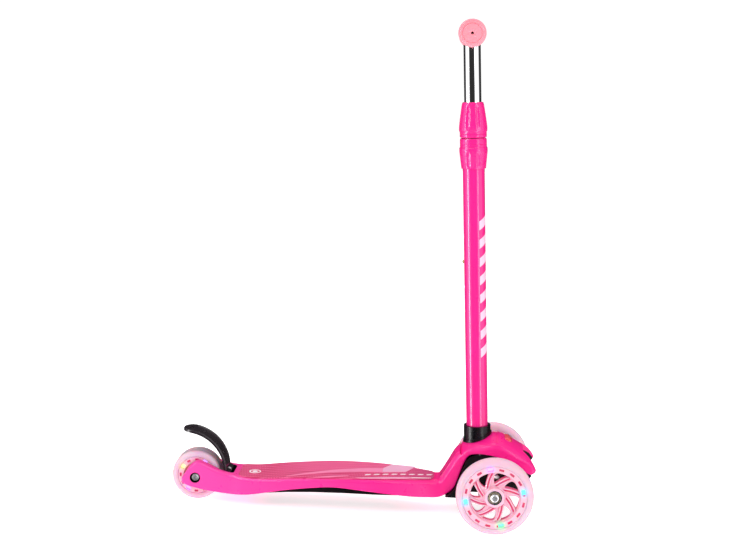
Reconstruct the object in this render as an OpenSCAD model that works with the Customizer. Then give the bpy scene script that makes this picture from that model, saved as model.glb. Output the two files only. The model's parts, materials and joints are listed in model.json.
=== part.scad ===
// Child's lean-to-steer kick scooter: two front wheels, one rear wheel, a one-piece moulded deck
// and a height-adjustable T-bar. Origin on the ground in the mid-plane, halfway along the length;
// +X points forward, +Y to the rider's left, +Z up.

/* [Wheels] */
// Front wheel diameter
front_wheel_d = 120; // [118:1:121]
// Front wheel width
front_wheel_w = 24; // [23:0.5:25]
// Rear wheel diameter
rear_wheel_d = 80; // [79:0.5:80]
// Rear wheel width
rear_wheel_w = 34; // [33:0.5:34]
// Distance between the front and rear axles
wheelbase = 480; // [479:0.5:481]
// Distance between the front wheels' middle planes
track = 220; // [219:1:226]

/* [Deck] */
// Radius along the deck's upper edges
edge_r = 4.5; // [3:0.5:6]
// Thickness of the deck's upper skin above the ribbed underside
skin = 5; // [4.5:0.5:6]
// Thickness of the grip mat
mat_t = 1.3; // [1:0.1:1.6]

/* [Steering column] */
// Angle that the column leans back from vertical
rake = 3.37; // [3.2:0.01:3.5]
// Outside diameter of the lower tube
lower_tube_d = 34.4; // [34:0.1:34.6]
// Outside diameter of the upper tube
upper_tube_d = 26.8; // [26.4:0.1:27]
// Wall thickness of both tubes
tube_wall = 1.8; // [1.5:0.1:1.9]
// Height of the handlebar's middle above the ground
bar_h = 760.6; // [755:0.1:765]
// Handlebar width over the grips
bar_w = 290; // [280:1:300]
// Spacing of the height-setting holes
hole_step = 40; // [38:1:42]

/* [Brake] */
// Radius of the brake lever's curved outer face
brake_r = 68; // [67:0.5:69]
// Width of the brake lever
brake_w = 42; // [38:1:42]

/* [Hidden] */
$fn = 64;

front_r = front_wheel_d / 2;
rear_r = rear_wheel_d / 2;
front_x = 227;              // front axle, ahead of the middle of the length
rear_x = -wheelbase;        // rear axle, measured from the front axle
wheel_y = track / 2;

shaft_r = 4;                // all axle, pivot and kingpin bolts are M8
run = 0.05;                 // running clearance of a shaft in its hole
gap = 0.4;                  // side clearance between moving faces
bearing_r = 11;             // 608 ball bearings
bearing_w = 7;

lean_z = 68;                // height of the lean axis, which runs fore and aft
kingpin_y = 80;
knuckle_z = [49, 73];       // ends of the knuckle barrel
ear_t = 6.2;                // thickness of the ears above and below the barrel
arm_len = 18;               // kingpin to tie rod pin
rod_z = [48.5, 53.5];

housing_hw = 38;            // half width of the front housing
cavity_hw = 34;             // half width of its inside
housing_screw_x = [-24, 24];

column_x = -28.5;           // column axis at the height column_z, from the front axle
column_z = 120;
collar_r = 21.5;
low_r = lower_tube_d / 2;
up_r = upper_tube_d / 2;
bar_r = 11;
bar_l = (bar_h - column_z) / cos(rake);       // handlebar, measured along the column
tube_foot = 13;             // lower tube's foot
pin_l = 18;                 // cross pin through the foot, inside the collar
collar_top = 23.5;
clamp_split = 483;          // joint between the two halves of the clamp
tube_top = clamp_split - 9;
t_bar_foot = 262;
snap_l = 288;               // snap button, measured along the column
snap_r = 3;

brace_screw_x = [-300, -200];
brace_screw_y = 16;
brake_c = [-498.5, 48];     // centre of the brake lever's curve, x and z from the front axle
brake_pin_at = [-430.5, 46];
brake_t = 4.5;
button_at = [21, 124];      // release button's seat, x and z from the front axle
button_tilt = 27;
button_r = 6.5;             // end radius of its oval
button_half = 9.5;          // half distance between the ends' middles

// Stations along the deck, neck and front cover, in the mid-plane, from the front axle:
// upper point x and z, lower point x and z, half width, curvature across the upper face
stations = [
    [-502, 38, -502, 31, 30, 0], [-499, 44, -500, 29, 31, 0], [-489, 59, -490, 25.5, 32, 0],
    [-479, 66.5, -480, 23, 32, 0], [-468, 64.5, -468, 20.5, 32, 0], [-452, 57.5, -452, 18.5, 33, 0],
    [-436, 52, -438, 17.5, 34.5, 0], [-420, 48.5, -422, 17, 37.5, 0], [-400, 46.8, -402, 18.5, 43.5, 0],
    [-380, 46.8, -380, 22, 47, 0], [-350, 49.2, -350, 29, 51, 0], [-320, 52, -320, 35, 53.5, 0],
    [-280, 54.8, -280, 41, 56.5, 0], [-250, 56.2, -250, 43, 57.5, 0], [-210, 57, -210, 39.5, 55.5, 0],
    [-170, 57, -170, 34.5, 50, 0], [-130, 56, -130, 29, 40, 0], [-104, 55, -104, 27, 32, 0],
    [-90, 55, -86, 27.5, 28, 0], [-85.5, 58, -71, 35.5, 28, 0], [-79, 69, -62, 46, 29, 0.001],
    [-71.5, 83, -57, 60, 30, 0.003], [-64.5, 97, -51, 79, 31, 0.006], [-57, 107.5, -45.5, 93, 32, 0.01],
    [-48, 117.5, -39.5, 100.5, 34, 0.014], [-27, 126, -27, 104, 38, 0.017],
    [-4, 131.5, -11, 104, 41, 0.0155], [9, 130, 3, 102, 43, 0.012], [26, 121.5, 18, 97.5, 45, 0.009],
    [42, 113, 35, 89, 47, 0.008], [54, 105, 49, 81, 48, 0.006], [62, 95, 58, 77.5, 47.5, 0.004],
    [66.3, 86, 63.3, 80, 45, 0.002]];
deck_rows = [8, 17];        // stations that carry the grip mat

// Height of the cover above the lean axis around the collar: x from the front axle, radius
saddle = [[-56, 38], [-50, 47.5], [-42, 52], [-27, 57.5], [-12, 61.8], [-2, 63], [4, 62.4]];

// Catmull-Rom curve through four rows
function between(a, b, c, d, t) =
    0.5 * (2 * b + (c - a) * t + (2 * a - 5 * b + 4 * c - d) * t * t + (3 * b - a - 3 * c + d) * t * t * t);
function smooth_rows(rows, steps) = [
    for (i = [0 : len(rows) - 2], k = [0 : steps - 1])
        between(rows[max(i - 1, 0)], rows[i], rows[i + 1], rows[min(i + 2, len(rows) - 1)], k / steps),
    rows[len(rows) - 1]];
// How far a face of curvature k falls away at y
function fall(y, k) = k * y * y / (1 + sqrt(max(1 - k * k * y * y, 0)));

// Half outline of a cross-section as [y, height above the lower face]
function half_section(w, h, k, r_up, r_low) = [
    for (i = [0 : 4]) let (y = (w - r_up) * i / 4) [y, h - fall(y, k)],
    for (a = [60, 30, 0]) let (y = w - r_up + r_up * cos(a)) [y, h - r_up + r_up * sin(a) - fall(y, k)],
    for (a = [0, 45, 90]) [w - r_low + r_low * cos(a), r_low - r_low * sin(a)],
    [0, 0]];
function full_section(half) = concat(half, [for (i = [len(half) - 2 : -1 : 1]) [-half[i][0], half[i][1]]]);
function place(row, pts) =
    let (up = [row[0] - row[2], row[1] - row[3]], n = up / norm(up))
    [for (p = pts) [row[2] + n[0] * p[1], p[0], row[3] + n[1] * p[1]]];
function thickness(row) = norm([row[0] - row[2], row[1] - row[3]]);

// Height of the deck's upper and lower faces at a distance x from the front axle
function deck_top(x) = lookup(x, [for (s = stations) if (s[0] < -95) [s[0], s[1]]]);
function deck_low(x) = lookup(x, [for (s = stations) if (s[0] < -95) [s[2], s[3]]]);
function deck_half(x) = lookup(x, [for (s = stations) if (s[0] < -95) [s[0], s[4]]]);

// Middle of a ring of points
function middle(pts) = [for (k = [0 : 2]) (min([for (p = pts) p[k]]) + max([for (p = pts) p[k]])) / 2];

module loft(sections) {
    m = len(sections[0]);
    n = len(sections);
    polyhedron(
        points = concat([for (s = sections) each s], [middle(sections[0]), middle(sections[n - 1])]),
        faces = concat(
            [for (i = [0 : n - 2], j = [0 : m - 1], half = [0, 1]) let (q = (j + 1) % m)
                half == 0 ? [i * m + j, (i + 1) * m + j, (i + 1) * m + q]
                    : [i * m + j, (i + 1) * m + q, i * m + q]],
            [for (j = [0 : m - 1]) [n * m, j, (j + 1) % m]],
            [for (j = [0 : m - 1]) [n * m + 1, (n - 1) * m + (j + 1) % m, (n - 1) * m + j]]));
}

module from_axle() { translate([front_x, 0, 0]) children(); }
module on_column(l = 0) {
    translate([front_x + column_x, 0, column_z]) rotate([0, -rake, 0]) translate([0, 0, l]) children();
}
module across(r, y0, y1) { translate([0, y0, 0]) rotate([-90, 0, 0]) cylinder(r = r, h = y1 - y0); }
module along(r, x0, x1) { translate([x0, 0, 0]) rotate([0, 90, 0]) cylinder(r = r, h = x1 - x0); }
module at_button() {
    translate([front_x + button_at[0], 0, button_at[1]]) rotate([0, button_tilt, 0]) children();
}
module side_plate(points, w) { rotate([90, 0, 0]) linear_extrude(w, center = true) polygon(points); }
module box(lo, hi) { translate(lo) cube(hi - lo); }
module ring(r_out, r_in, h) {
    difference() {
        cylinder(r = r_out, h = h);
        translate([0, 0, -1]) cylinder(r = r_in, h = h + 2);
    }
}
module mirror_y() { children(); mirror([0, 1, 0]) children(); }

// Round wire wound about Z
module coil(r, wire_r, turns, h) {
    per_turn = 14;
    sides = 6;
    count = turns * per_turn;
    loft([for (i = [0 : count]) let (a = 360 * i / per_turn)
        [for (k = [0 : sides - 1]) let (b = -360 * k / sides)
            [(r + wire_r * cos(b)) * cos(a), (r + wire_r * cos(b)) * sin(a),
                h * i / count + wire_r * sin(b)]]]);
}
module button_head(r, h) {
    difference() {
        union() {
            cylinder(r = r, h = h * 0.6);
            translate([0, 0, h * 0.6]) cylinder(r1 = r, r2 = r * 0.7, h = h * 0.4);
        }
        translate([0, 0, h * 0.35]) cylinder(r = 2.4, h = h, $fn = 6);
    }
}
module lock_nut(r, h) {
    difference() {
        union() {
            cylinder(r = r, h = h * 0.7, $fn = 6);
            cylinder(r = r * 0.78, h = h);
        }
        translate([0, 0, -1]) cylinder(r = shaft_r, h = h + 2);
    }
}

// Solid of revolution about the lean axis, as high as the cover around the collar plus lift
module saddle_solid(lift) {
    translate([0, 0, lean_z]) rotate([0, 90, 0]) rotate_extrude($fn = 96)
        polygon(concat([[0, saddle[0][0]]], [for (s = saddle) [s[1] + lift, s[0]]], [[0, saddle[6][0]]]));
}

// ---- Deck, neck and front cover ----

module deck_loft() {
    rows = smooth_rows(stations, 2);
    loft([for (s = rows) let (h = thickness(s))
        place(s, full_section(half_section(s[4], h, s[5], min(edge_r, h * 0.45), min(3, h * 0.4))))]);
}
// Pockets between the ribs of the underside
module rib_pockets() {
    pitch = 26;
    rib = 3;
    for (x = [-388 : pitch : -128], side = [-1, 1], col = [0, 1]) {
        half = min(deck_half(x), deck_half(x + pitch)) - 5;
        mid = half * 0.5;
        y0 = col == 0 ? rib / 2 : mid + rib / 2;
        y1 = col == 0 ? mid - rib / 2 : half;
        top = min(deck_top(x), deck_top(x + pitch)) - skin;
        box([x, side > 0 ? y0 : -y1, 0], [x + pitch - rib, side > 0 ? y1 : -y0, top]);
    }
}
module deck_body() color("deeppink") {
    deck_shell();
    // Shelf under the release button's spring
    at_button() box([-6, -cavity_hw - 1, -17.8], [6, cavity_hw + 1, -15.5]);
    // Bosses for the brace's screws
    for (x = brace_screw_x) mirror_y() translate([front_x + x, brace_screw_y, 28.7])
        ring(5, 2, deck_top(x) - skin - 27.7);
}
module deck_shell() from_axle() difference() {
    deck_loft();
    // Rear wheel's slot, axle bore and the seats of the bolt head and nut
    translate([rear_x, 0, rear_r]) {
        across(rear_r + 3.5, -rear_wheel_w / 2 - 1.3, rear_wheel_w / 2 + 1.3);
        across(shaft_r, -60, 60);
        across(8.5, -60, -27);
        across(8.5, 27, 60);
    }
    // Brake lever's pocket and pin
    box([-446, -brake_w / 2 - 1.5, 36], [-419, brake_w / 2 + 1.5, 80]);
    translate([brake_pin_at[0], 0, brake_pin_at[1]]) across(2.5, -31, 31);
    rib_pockets();
    // Seat of the collar, its opening and the hollow under the cover
    intersection() {
        box([-55, -33, 100], [3.5, 33, 140]);
        difference() {
            box([-60, -40, 90], [10, 40, 150]);
            saddle_solid(0);
        }
    }
    translate([column_x - 0.5, 0, 90]) cylinder(r = 19.4, h = 60);
    translate([0, 0, lean_z]) rotate([0, 90, 0]) intersection() {
        rotate_extrude()
            polygon([[0, -41], [46, -41], [53, -27], [58, -4], [57, 9], [48, 26], [40, 41], [0, 48]]);
        translate([-60, -cavity_hw, -41]) cube([80, 2 * cavity_hw, 90]);
    }
    box([-36, -cavity_hw, 80], [36, cavity_hw, 104]);
    // Release button's guide
    translate([button_at[0], 0, button_at[1]]) rotate([0, button_tilt, 0])
        oval(button_r + 0.35, button_half, -20, 20);
    // Notch that leaves the two horns
    translate([0, 0, 60]) linear_extrude(70) polygon([[45, -22], [45, 22], [72, 46], [72, -46]]);
    for (x = housing_screw_x) mirror_y() translate([x, cavity_hw + 2, 90]) cylinder(r = 1.4, h = 18);
}

// ---- Parts fixed to the deck ----

module grip_mat() color("hotpink") from_axle() {
    steps = 2;
    rows = smooth_rows(stations, steps);
    loft([for (i = [deck_rows[0] * steps - 1 : deck_rows[1] * steps + 1])
        let (s = rows[i], h = thickness(s), w = s[4] - 7)
        place(s, [for (p = [[0, mat_t], [w, mat_t], [w + 0.8, 0.02], [0, 0.02], [-w - 0.8, 0.02],
            [-w, mat_t]]) [p[0], h + p[1]]])]);
}
module underdeck_brace() color("black") from_axle() difference() {
    side_plate(concat(
        [[-384, 20.5], [-370, 19], [-330, 22.5], [-290, 24.5], [-240, 25.5], [-190, 25.5], [-150, 26.5],
            [-136, 28.5]],
        [for (x = [-150, -170, -210, -250, -280, -320, -350, -380]) [x, deck_low(x) - 0.4]]), 52);
    // Hollow, open upwards
    side_plate([[-366, 22], [-330, 25.5], [-290, 27.5], [-190, 28.5], [-160, 29], [-160, 60], [-366, 60]],
        46);
    for (x = brace_screw_x) mirror_y() translate([x, brace_screw_y, 0]) {
        cylinder(r = 2.1, h = 60);
        translate([0, 0, 15]) cylinder(r = 4.4, h = 10.5);
    }
}
module brace_screws() color("silver") from_axle()
    for (x = brace_screw_x) mirror_y() translate([x, brace_screw_y, 25.4]) rotate([180, 0, 0]) {
        button_head(4, 2);
        translate([0, 0, -14]) cylinder(r = 2, h = 14);
    }

module front_housing() color("black") from_axle() {
    lower = knuckle_z[0] - 0.3;
    upper = knuckle_z[1] + 0.3;
    difference() {
        union() {
            side_plate([[-76, 31.2], [-60, 31], [-47, 38.5], [-34, 42.5], [29, 42.5], [42, 50], [59, 73],
                [57, 76], [48, 79.8], [34.5, 87.8], [17.7, 96.2], [2.8, 100.7], [-11, 102.7], [-26.8, 102.7],
                [-38.4, 99.3], [-44.4, 92], [-49.7, 78.5], [-55.6, 59.5], [-60.6, 45.6], [-68.6, 35.6]],
                2 * housing_hw);
            for (z = [lower - ear_t, upper]) mirror_y() {
                box([-10.5, 30, z], [10.5, kingpin_y, z + ear_t]);
                translate([0, kingpin_y, z]) cylinder(r = 10.5, h = ear_t);
            }
            // Gussets under the upper ears and over the lower ones, short of the barrels
            mirror_y() for (x = [-9.5, 6.5]) box([x, 30, lower - 1], [x + 3, 62, upper + 1]);
        }
        // Inside, open upwards
        box([-36, -cavity_hw, 47], [30, cavity_hw, 120]);
        box([-37.5, -cavity_hw, 80], [40, cavity_hw, 120]);
        // Windows for the tie rod
        box([-27, -kingpin_y, 46.8], [-10.6, kingpin_y, 57]);
        for (s = [-1, 1]) translate([0, s * kingpin_y, 20]) cylinder(r = shaft_r, h = 80);
        translate([0, 0, lean_z]) {
            along(shaft_r, -56, 60);
            along(7.4, -60, -48);
            along(7.4, 40, 80);
        }
        for (x = housing_screw_x) mirror_y() translate([x, cavity_hw + 2, 88]) cylinder(r = 1.4, h = 30);
    }
}
module housing_screws() color("silver") from_axle() for (x = housing_screw_x)
    mirror_y() translate([x, cavity_hw + 2, x < 0 ? 92 : 88.2]) cylinder(r = 1.4, h = 12);
module lean_pivot_bolt() color("silver") from_axle() translate([0, 0, lean_z]) {
    along(shaft_r, -51, 42);
    translate([42, 0, 0]) rotate([0, 90, 0]) button_head(6.8, 4.5);
}
module lean_pivot_nut() color("silver") from_axle() translate([-48, 0, lean_z])
    rotate([0, -90, 0]) lock_nut(7, 5);
module kingpin_bolts() color("silver") from_axle() for (s = [-1, 1]) translate([0, s * kingpin_y, 0]) {
    translate([0, 0, knuckle_z[0] - ear_t - 8]) cylinder(r = shaft_r, h = 45);
    translate([0, 0, knuckle_z[1] + ear_t + 0.3]) button_head(7, 4.5);
}
module kingpin_nuts() color("silver") from_axle() for (s = [-1, 1])
    translate([0, s * kingpin_y, knuckle_z[0] - ear_t - 0.3]) rotate([180, 0, 0]) lock_nut(7.4, 6.5);
module centring_springs() color("silver") from_axle() mirror_y() translate([12, 23, 48.2])
    coil(5, 0.9, 4, 9.6);

module rear_axle_bolt() color("silver") from_axle() translate([rear_x, 0, rear_r]) {
    across(shaft_r, -27, 31);
    translate([0, -27, 0]) rotate([90, 0, 0]) button_head(6, 3.6);
}
module rear_axle_nut() color("silver") from_axle() translate([rear_x, 27, rear_r])
    rotate([-90, 0, 0]) lock_nut(7.2, 5);
module rear_spacers() color("silver") from_axle() translate([rear_x, 0, rear_r]) rotate([-90, 0, 0]) {
    side = rear_wheel_w / 2;
    for (y = [-side - 1.2, side - 0.2]) translate([0, 0, y]) ring(6, shaft_r, 1.4);
    translate([0, 0, bearing_w + 0.6 - side]) ring(6, shaft_r, rear_wheel_w - 2 * bearing_w - 1.2);
}
module brake_pin() color("silver") from_axle() translate([brake_pin_at[0], 0, brake_pin_at[1]])
    across(2.5, -30, 30);
module brake_spring() color("silver") from_axle()
    translate([brake_pin_at[0], -4.6, brake_pin_at[1]]) rotate([-90, 0, 0]) coil(4, 0.8, 5, 9.2);
module button_spring() color("silver") at_button() translate([0, 0, -14.9]) coil(3.4, 0.5, 5, 6);

// ---- Steering head: leans from side to side ----

module steering_yoke() color("dimgray") {
    from_axle() difference() {
        union() {
            translate([0, 0, lean_z]) along(8, -35.5, 29.5);
            // Wings that press on the centring springs
            box([6, -30, 60], [19, 30, 66]);
            // Finger that moves the tie rod
            box([-arm_len - 3, -3.5, 47.6], [-arm_len + 3, 3.5, lean_z]);
        }
        translate([0, 0, lean_z]) along(shaft_r + run, -60, 60);
    }
    // Post up to the column, its flange and the spigot inside the lower tube
    difference() {
        union() {
            yoke_post(60);
            on_column(-10) cylinder(r = low_r, h = tube_foot + 10);
            on_column(0) cylinder(r = low_r - tube_wall, h = 70);
        }
        from_axle() difference() {
            saddle_solid(1);
            translate([-front_x, 0, 0]) yoke_post(80);
        }
        on_column(pin_l) across(3, -30, 30);
        from_axle() translate([0, 0, lean_z]) along(shaft_r + run, -60, 60);
    }
}
module yoke_post(h) { on_column(-50) box([-8, -7, 0], [8, 7, h]); }
module collar() color("black") difference() {
    union() {
        on_column(-20) cylinder(r = collar_r, h = 20 + collar_top);
        // Skirt that follows the cover
        intersection() {
            on_column(-20) cylinder(r = collar_r + 1.5, h = 60);
            from_axle() saddle_solid(4.5);
        }
    }
    from_axle() saddle_solid(1);
    on_column(-30) cylinder(r = low_r, h = 90);
}
module socket_pin() color("silver") on_column(pin_l) across(3, -low_r + 0.1, low_r - 0.1);
module lower_tube() color("deeppink") difference() {
    on_column(tube_foot) cylinder(r = low_r, h = tube_top - tube_foot);
    on_column(tube_foot - 1) cylinder(r = low_r - tube_wall, h = tube_top - tube_foot + 2);
    on_column(pin_l) across(3, -30, 30);
    for (k = [-2 : 1]) on_column(snap_l + k * hole_step) rotate([0, -90, 0])
        cylinder(r = snap_r + 0.3, h = 30);
}
// Grooves along a clamp half, from one radius and height to another
module flutes(r0, l0, r1, l1) {
    groove_r = 5;
    for (i = [0 : 7]) rotate([0, 0, 45 * i + 22.5]) translate([r0 + groove_r, 0, l0])
        rotate([0, atan2(r1 - r0, l1 - l0), 0]) cylinder(r = groove_r, h = norm([r1 - r0, l1 - l0]));
}
module clamp_base() color("deeppink") on_column(clamp_split) difference() {
    rotate_extrude($fn = 180) polygon([[low_r, -48], [19.1, -48], [19.7, -45], [22.1, -21], [22.1, -16],
        [21, -14.5], [21, -3], [20, -1.5], [up_r + 0.9, -1.5], [up_r + 0.9, -9], [low_r, -9]]);
    flutes(18.3, -50, 21.2, -22);
}
module clamp_collet() color("gainsboro") on_column(clamp_split) {
    translate([0, 0, -51]) ring(low_r - tube_wall, up_r + run, 41.5);
    translate([0, 0, -10]) ring(up_r + 0.8, up_r + run, 12);
    translate([0, 0, 0.5]) difference() {
        cylinder(r1 = 17, r2 = 14.6, h = 40);
        translate([0, 0, -1]) cylinder(r = up_r + run, h = 50);
        for (a = [0 : 60 : 300]) rotate([0, 0, a]) box([10, -0.6, 8], [20, 0.6, 50]);
    }
}
module clamp_nut() color("deeppink") on_column(clamp_split) difference() {
    rotate_extrude($fn = 180) polygon([[17.6, 0.5], [20.2, 0.5], [21, 2], [21, 9], [22.1, 11], [22.1, 17],
        [20.5, 34], [17.6, 50], [16.4, 54.2], [15.6, 55], [up_r + gap, 55], [up_r + gap, 45], [15.2, 42]]);
    flutes(21, 19, 16.6, 52);
}

// ---- T-bar: slides up and down in the lower tube ----

module t_bar() color("silver") difference() {
    union() {
        on_column(t_bar_foot) cylinder(r = up_r, h = bar_l - t_bar_foot);
        on_column(bar_l) across(bar_r, 6 - bar_w / 2, bar_w / 2 - 6);
    }
    on_column(t_bar_foot - 1) cylinder(r = up_r - tube_wall, h = bar_l - t_bar_foot - 3);
    on_column(bar_l) across(bar_r - tube_wall, -bar_w, bar_w);
    on_column(snap_l) rotate([0, -90, 0]) cylinder(r = snap_r + run, h = 30);
}
module tube_bush() color("white") on_column(t_bar_foot) {
    ring(low_r - tube_wall - run, up_r, 16);
    translate([0, 0, -2]) ring(low_r - tube_wall - run, up_r - tube_wall, 2);
}
module bar_plugs() color("black") on_column(bar_l)
    mirror_y() across(bar_r - tube_wall, bar_w / 2 - 22, bar_w / 2 - 6);
module grip() {
    y1 = bar_w / 2;
    rotate([-90, 0, 0]) rotate_extrude() polygon(concat(
        [[bar_r, 50], [17.5, 50]],
        [for (a = [-90 : 22.5 : 90]) [18 + 2 * cos(a), 52.5 + 2.5 * sin(a)]],
        [[15.6, 57], [16.4, 70], [16.8, 95], [16, 125], [15.8, y1 - 10]],
        [for (a = [-90 : 15 : 90]) [17 + 3.5 * cos(a), y1 - 4.5 + 4 * sin(a)]],
        [[14.4, y1 - 0.5], [13.6, y1 - 1.3], [12.8, y1 - 0.9], [1.4, y1 - 0.6], [1.4, y1 - 6],
            [bar_r, y1 - 6]]));
}
module grip_left() color("salmon") on_column(bar_l) grip();
module grip_right() color("salmon") on_column(bar_l) mirror([0, 1, 0]) grip();
module snap_spring() color("silver") on_column(snap_l) {
    r = up_r - tube_wall - 0.3;
    side_plate([[-r + 2.2, 5], [-r + 2.2, -7], [r - 1.5, -19], [r - 0.6, -19], [r - 0.6, -6], [r - 1.4, -6],
        [r - 1.4, -18], [-r + 3, -6.6], [-r + 3, 5]], 7);
}
module snap_button() color("goldenrod") on_column(snap_l) rotate([0, -90, 0]) {
    translate([0, 0, 9.3]) cylinder(r = 4.2, h = 1.2);
    translate([0, 0, 9.3]) cylinder(r = snap_r, h = low_r - 8.7);
    translate([0, 0, low_r + 0.6]) intersection() {
        cylinder(r = snap_r, h = 5);
        translate([0, 0, -1.6]) sphere(r = 3.6);
    }
}

// ---- Front steering ----

module tie_rod() color("dimgray") from_axle() difference() {
    box([-arm_len - 6.5, -kingpin_y, rod_z[0]], [-arm_len + 6.5, kingpin_y, rod_z[1]]);
    box([-arm_len - 3.8, -4.4, 40], [-arm_len + 3.8, 4.4, 60]);
    // Slots for the knuckles' pins
    mirror_y() for (x = [-1.4, 1.4]) translate([x - arm_len, kingpin_y - 6, 40]) cylinder(r = 3.45, h = 20);
    mirror_y() box([-arm_len - 1.4, kingpin_y - 9.45, 40], [-arm_len + 1.4, kingpin_y - 2.55, 60]);
}
module knuckle() {
    z_mid = front_r;
    difference() {
        union() {
            translate([0, kingpin_y, knuckle_z[0]]) cylinder(r = 9, h = knuckle_z[1] - knuckle_z[0]);
            translate([0, 0, z_mid]) across(7, kingpin_y, wheel_y - front_wheel_w / 2 + 0.2);
            // Steering arm with its pin
            box([-arm_len - 5, kingpin_y - 11, 54.5], [0, kingpin_y - 1, 60.5]);
            translate([-arm_len, kingpin_y - 6, rod_z[0] + 0.2]) cylinder(r = 3, h = 8);
        }
        translate([0, kingpin_y, 0]) cylinder(r = shaft_r + run, h = 100);
        translate([0, 0, z_mid]) across(shaft_r, kingpin_y + 6, 140);
    }
}
module axle_bolt() {
    end = wheel_y + front_wheel_w / 2;
    translate([0, 0, front_r]) {
        across(shaft_r, kingpin_y + 6, end - 0.2);
        translate([0, end - 0.2, 0]) rotate([-90, 0, 0]) button_head(6.2, 2.8);
    }
}
module hub_spacer() {
    y0 = wheel_y - front_wheel_w / 2 + bearing_w + 0.9;
    translate([0, y0, front_r]) rotate([-90, 0, 0]) ring(6, shaft_r, front_wheel_w - 2 * bearing_w - 1.8);
}
module knuckle_left() color("dimgray") from_axle() knuckle();
module knuckle_right() color("dimgray") from_axle() mirror([0, 1, 0]) knuckle();
module front_axle_bolt_left() color("silver") from_axle() axle_bolt();
module front_axle_bolt_right() color("silver") from_axle() mirror([0, 1, 0]) axle_bolt();
module front_spacer_left() color("silver") from_axle() hub_spacer();
module front_spacer_right() color("silver") from_axle() mirror([0, 1, 0]) hub_spacer();

// ---- Wheels, built about Z and then turned onto their axles ----

light_r = 45;
light_angles = [14, 101, 191, 285];
function polar(r, a) = [r * cos(a), r * sin(a)];

module core_blank(r_rim, r_out, w, web) {
    difference() {
        union() {
            cylinder(r = bearing_r + 3.2, h = w, center = true);
            cylinder(r = r_out, h = web, center = true);
            difference() {
                cylinder(r = r_out, h = w, center = true);
                cylinder(r = r_rim, h = w + 2, center = true);
            }
        }
        cylinder(r = 6.6, h = w + 2, center = true);
        for (s = [-1, 1]) translate([0, 0, s * (w / 2 - bearing_w / 2)])
            cylinder(r = bearing_r, h = bearing_w + 0.6, center = true);
    }
}
module front_core() {
    difference() {
        core_blank(40, 49.5, front_wheel_w - 1, 9);
        // Eight swept openings and the groove down each spoke
        for (i = [0 : 7]) rotate([0, 0, i * 45 + 16]) {
            linear_extrude(40, center = true) polygon(concat(
                [for (a = [0 : 5 : 25]) polar(38, a)],
                [polar(36, 30), polar(32, 33.5), polar(24, 34), polar(21, 31)]));
            for (s = [-1, 1]) translate([0, 0, s * 5]) linear_extrude(2.4, center = true)
                polygon([polar(17.5, 49), polar(38, -5.5), polar(38, -2.7), polar(17.5, 54)]);
        }
        // Windows round the rim, four of them deep seats for the lights
        for (i = [0 : 15]) rotate([0, 0, i * 22.5 + 11.5]) for (s = [-1, 1])
            translate([light_r, 0, s * (front_wheel_w / 2 - 0.5)]) cube([3.4, 7.6, 3], center = true);
        for (a = light_angles) rotate([0, 0, a]) translate([light_r, 0, 0]) cube([6, 9, 40], center = true);
    }
}
module tyre_ring(r_in, r_out, w, shoulder) {
    rotate_extrude($fn = 128) polygon(concat(
        [[r_in, -w / 2 + 1.5], [r_in, w / 2 - 1.5], [r_in + 1, w / 2]],
        [for (a = [90 : -15 : -90])
            [r_out - shoulder + shoulder * cos(a), sign(a) * (w / 2 - shoulder) + shoulder * sin(a)]],
        [[r_in + 1, -w / 2]]));
}
module bearing_pair(w) {
    for (s = [-1, 1]) translate([0, 0, s * (w / 2 - bearing_w / 2 - 0.5)]) difference() {
        cylinder(r = bearing_r, h = bearing_w, center = true);
        cylinder(r = shaft_r + run, h = bearing_w + 2, center = true);
        for (t = [-1, 1]) translate([0, 0, t * bearing_w / 2]) difference() {
            cylinder(r = 9.4, h = 1, center = true);
            cylinder(r = 6.1, h = 2, center = true);
        }
    }
}
module light_set(r, angles, size) {
    for (a = angles) rotate([0, 0, a]) translate([r, 0, 0]) {
        cube(size, center = true);
        for (s = [-1, 1]) translate([0, 0, s * size[2] / 2]) intersection() {
            sphere(r = 2.2);
            translate([0, 0, s * 3]) cube([6, 6, 6], center = true);
        }
    }
}
module at_front_wheel(side) {
    translate([front_x, side * wheel_y, front_r]) mirror([0, side > 0 ? 1 : 0, 0]) rotate([90, 0, 0])
        children();
}
module at_rear_wheel() { translate([front_x + rear_x, 0, rear_r]) rotate([90, 0, 0]) children(); }

module front_core_left() color("pink") at_front_wheel(1) front_core();
module front_core_right() color("pink") at_front_wheel(-1) front_core();
module front_tyre_left() color("pink") at_front_wheel(1) tyre_ring(49.5, front_r, front_wheel_w, 11);
module front_tyre_right() color("pink") at_front_wheel(-1) tyre_ring(49.5, front_r, front_wheel_w, 11);
module front_bearings_left() color("gold") at_front_wheel(1) bearing_pair(front_wheel_w);
module front_bearings_right() color("gold") at_front_wheel(-1) bearing_pair(front_wheel_w);
module front_lights_left() color("cyan") at_front_wheel(1) light_set(light_r, light_angles, [5.4, 8.4, 14]);
module front_lights_right() color("cyan") at_front_wheel(-1) light_set(light_r, light_angles, [5.4, 8.4, 14]);

rear_light_r = 26;
rear_light_angles = [60, 150, 240, 330];
module rear_core() color("pink") at_rear_wheel() difference() {
    core_blank(21, 30, rear_wheel_w - 1, 12);
    for (i = [0 : 11]) rotate([0, 0, i * 30]) for (s = [-1, 1])
        translate([rear_light_r, 0, s * (rear_wheel_w / 2 - 0.5)]) cube([2.8, 5.6, 3], center = true);
    for (a = rear_light_angles) rotate([0, 0, a]) translate([rear_light_r, 0, 0])
        cube([5.4, 7.4, 40], center = true);
}
module rear_tyre() color("pink") at_rear_wheel() tyre_ring(30, rear_r, rear_wheel_w, 8);
module rear_bearings() color("gold") at_rear_wheel() bearing_pair(rear_wheel_w);
module rear_lights() color("cyan") at_rear_wheel() light_set(rear_light_r, rear_light_angles, [4.8, 6.8, 20]);

// ---- Brake lever and release button ----

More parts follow.
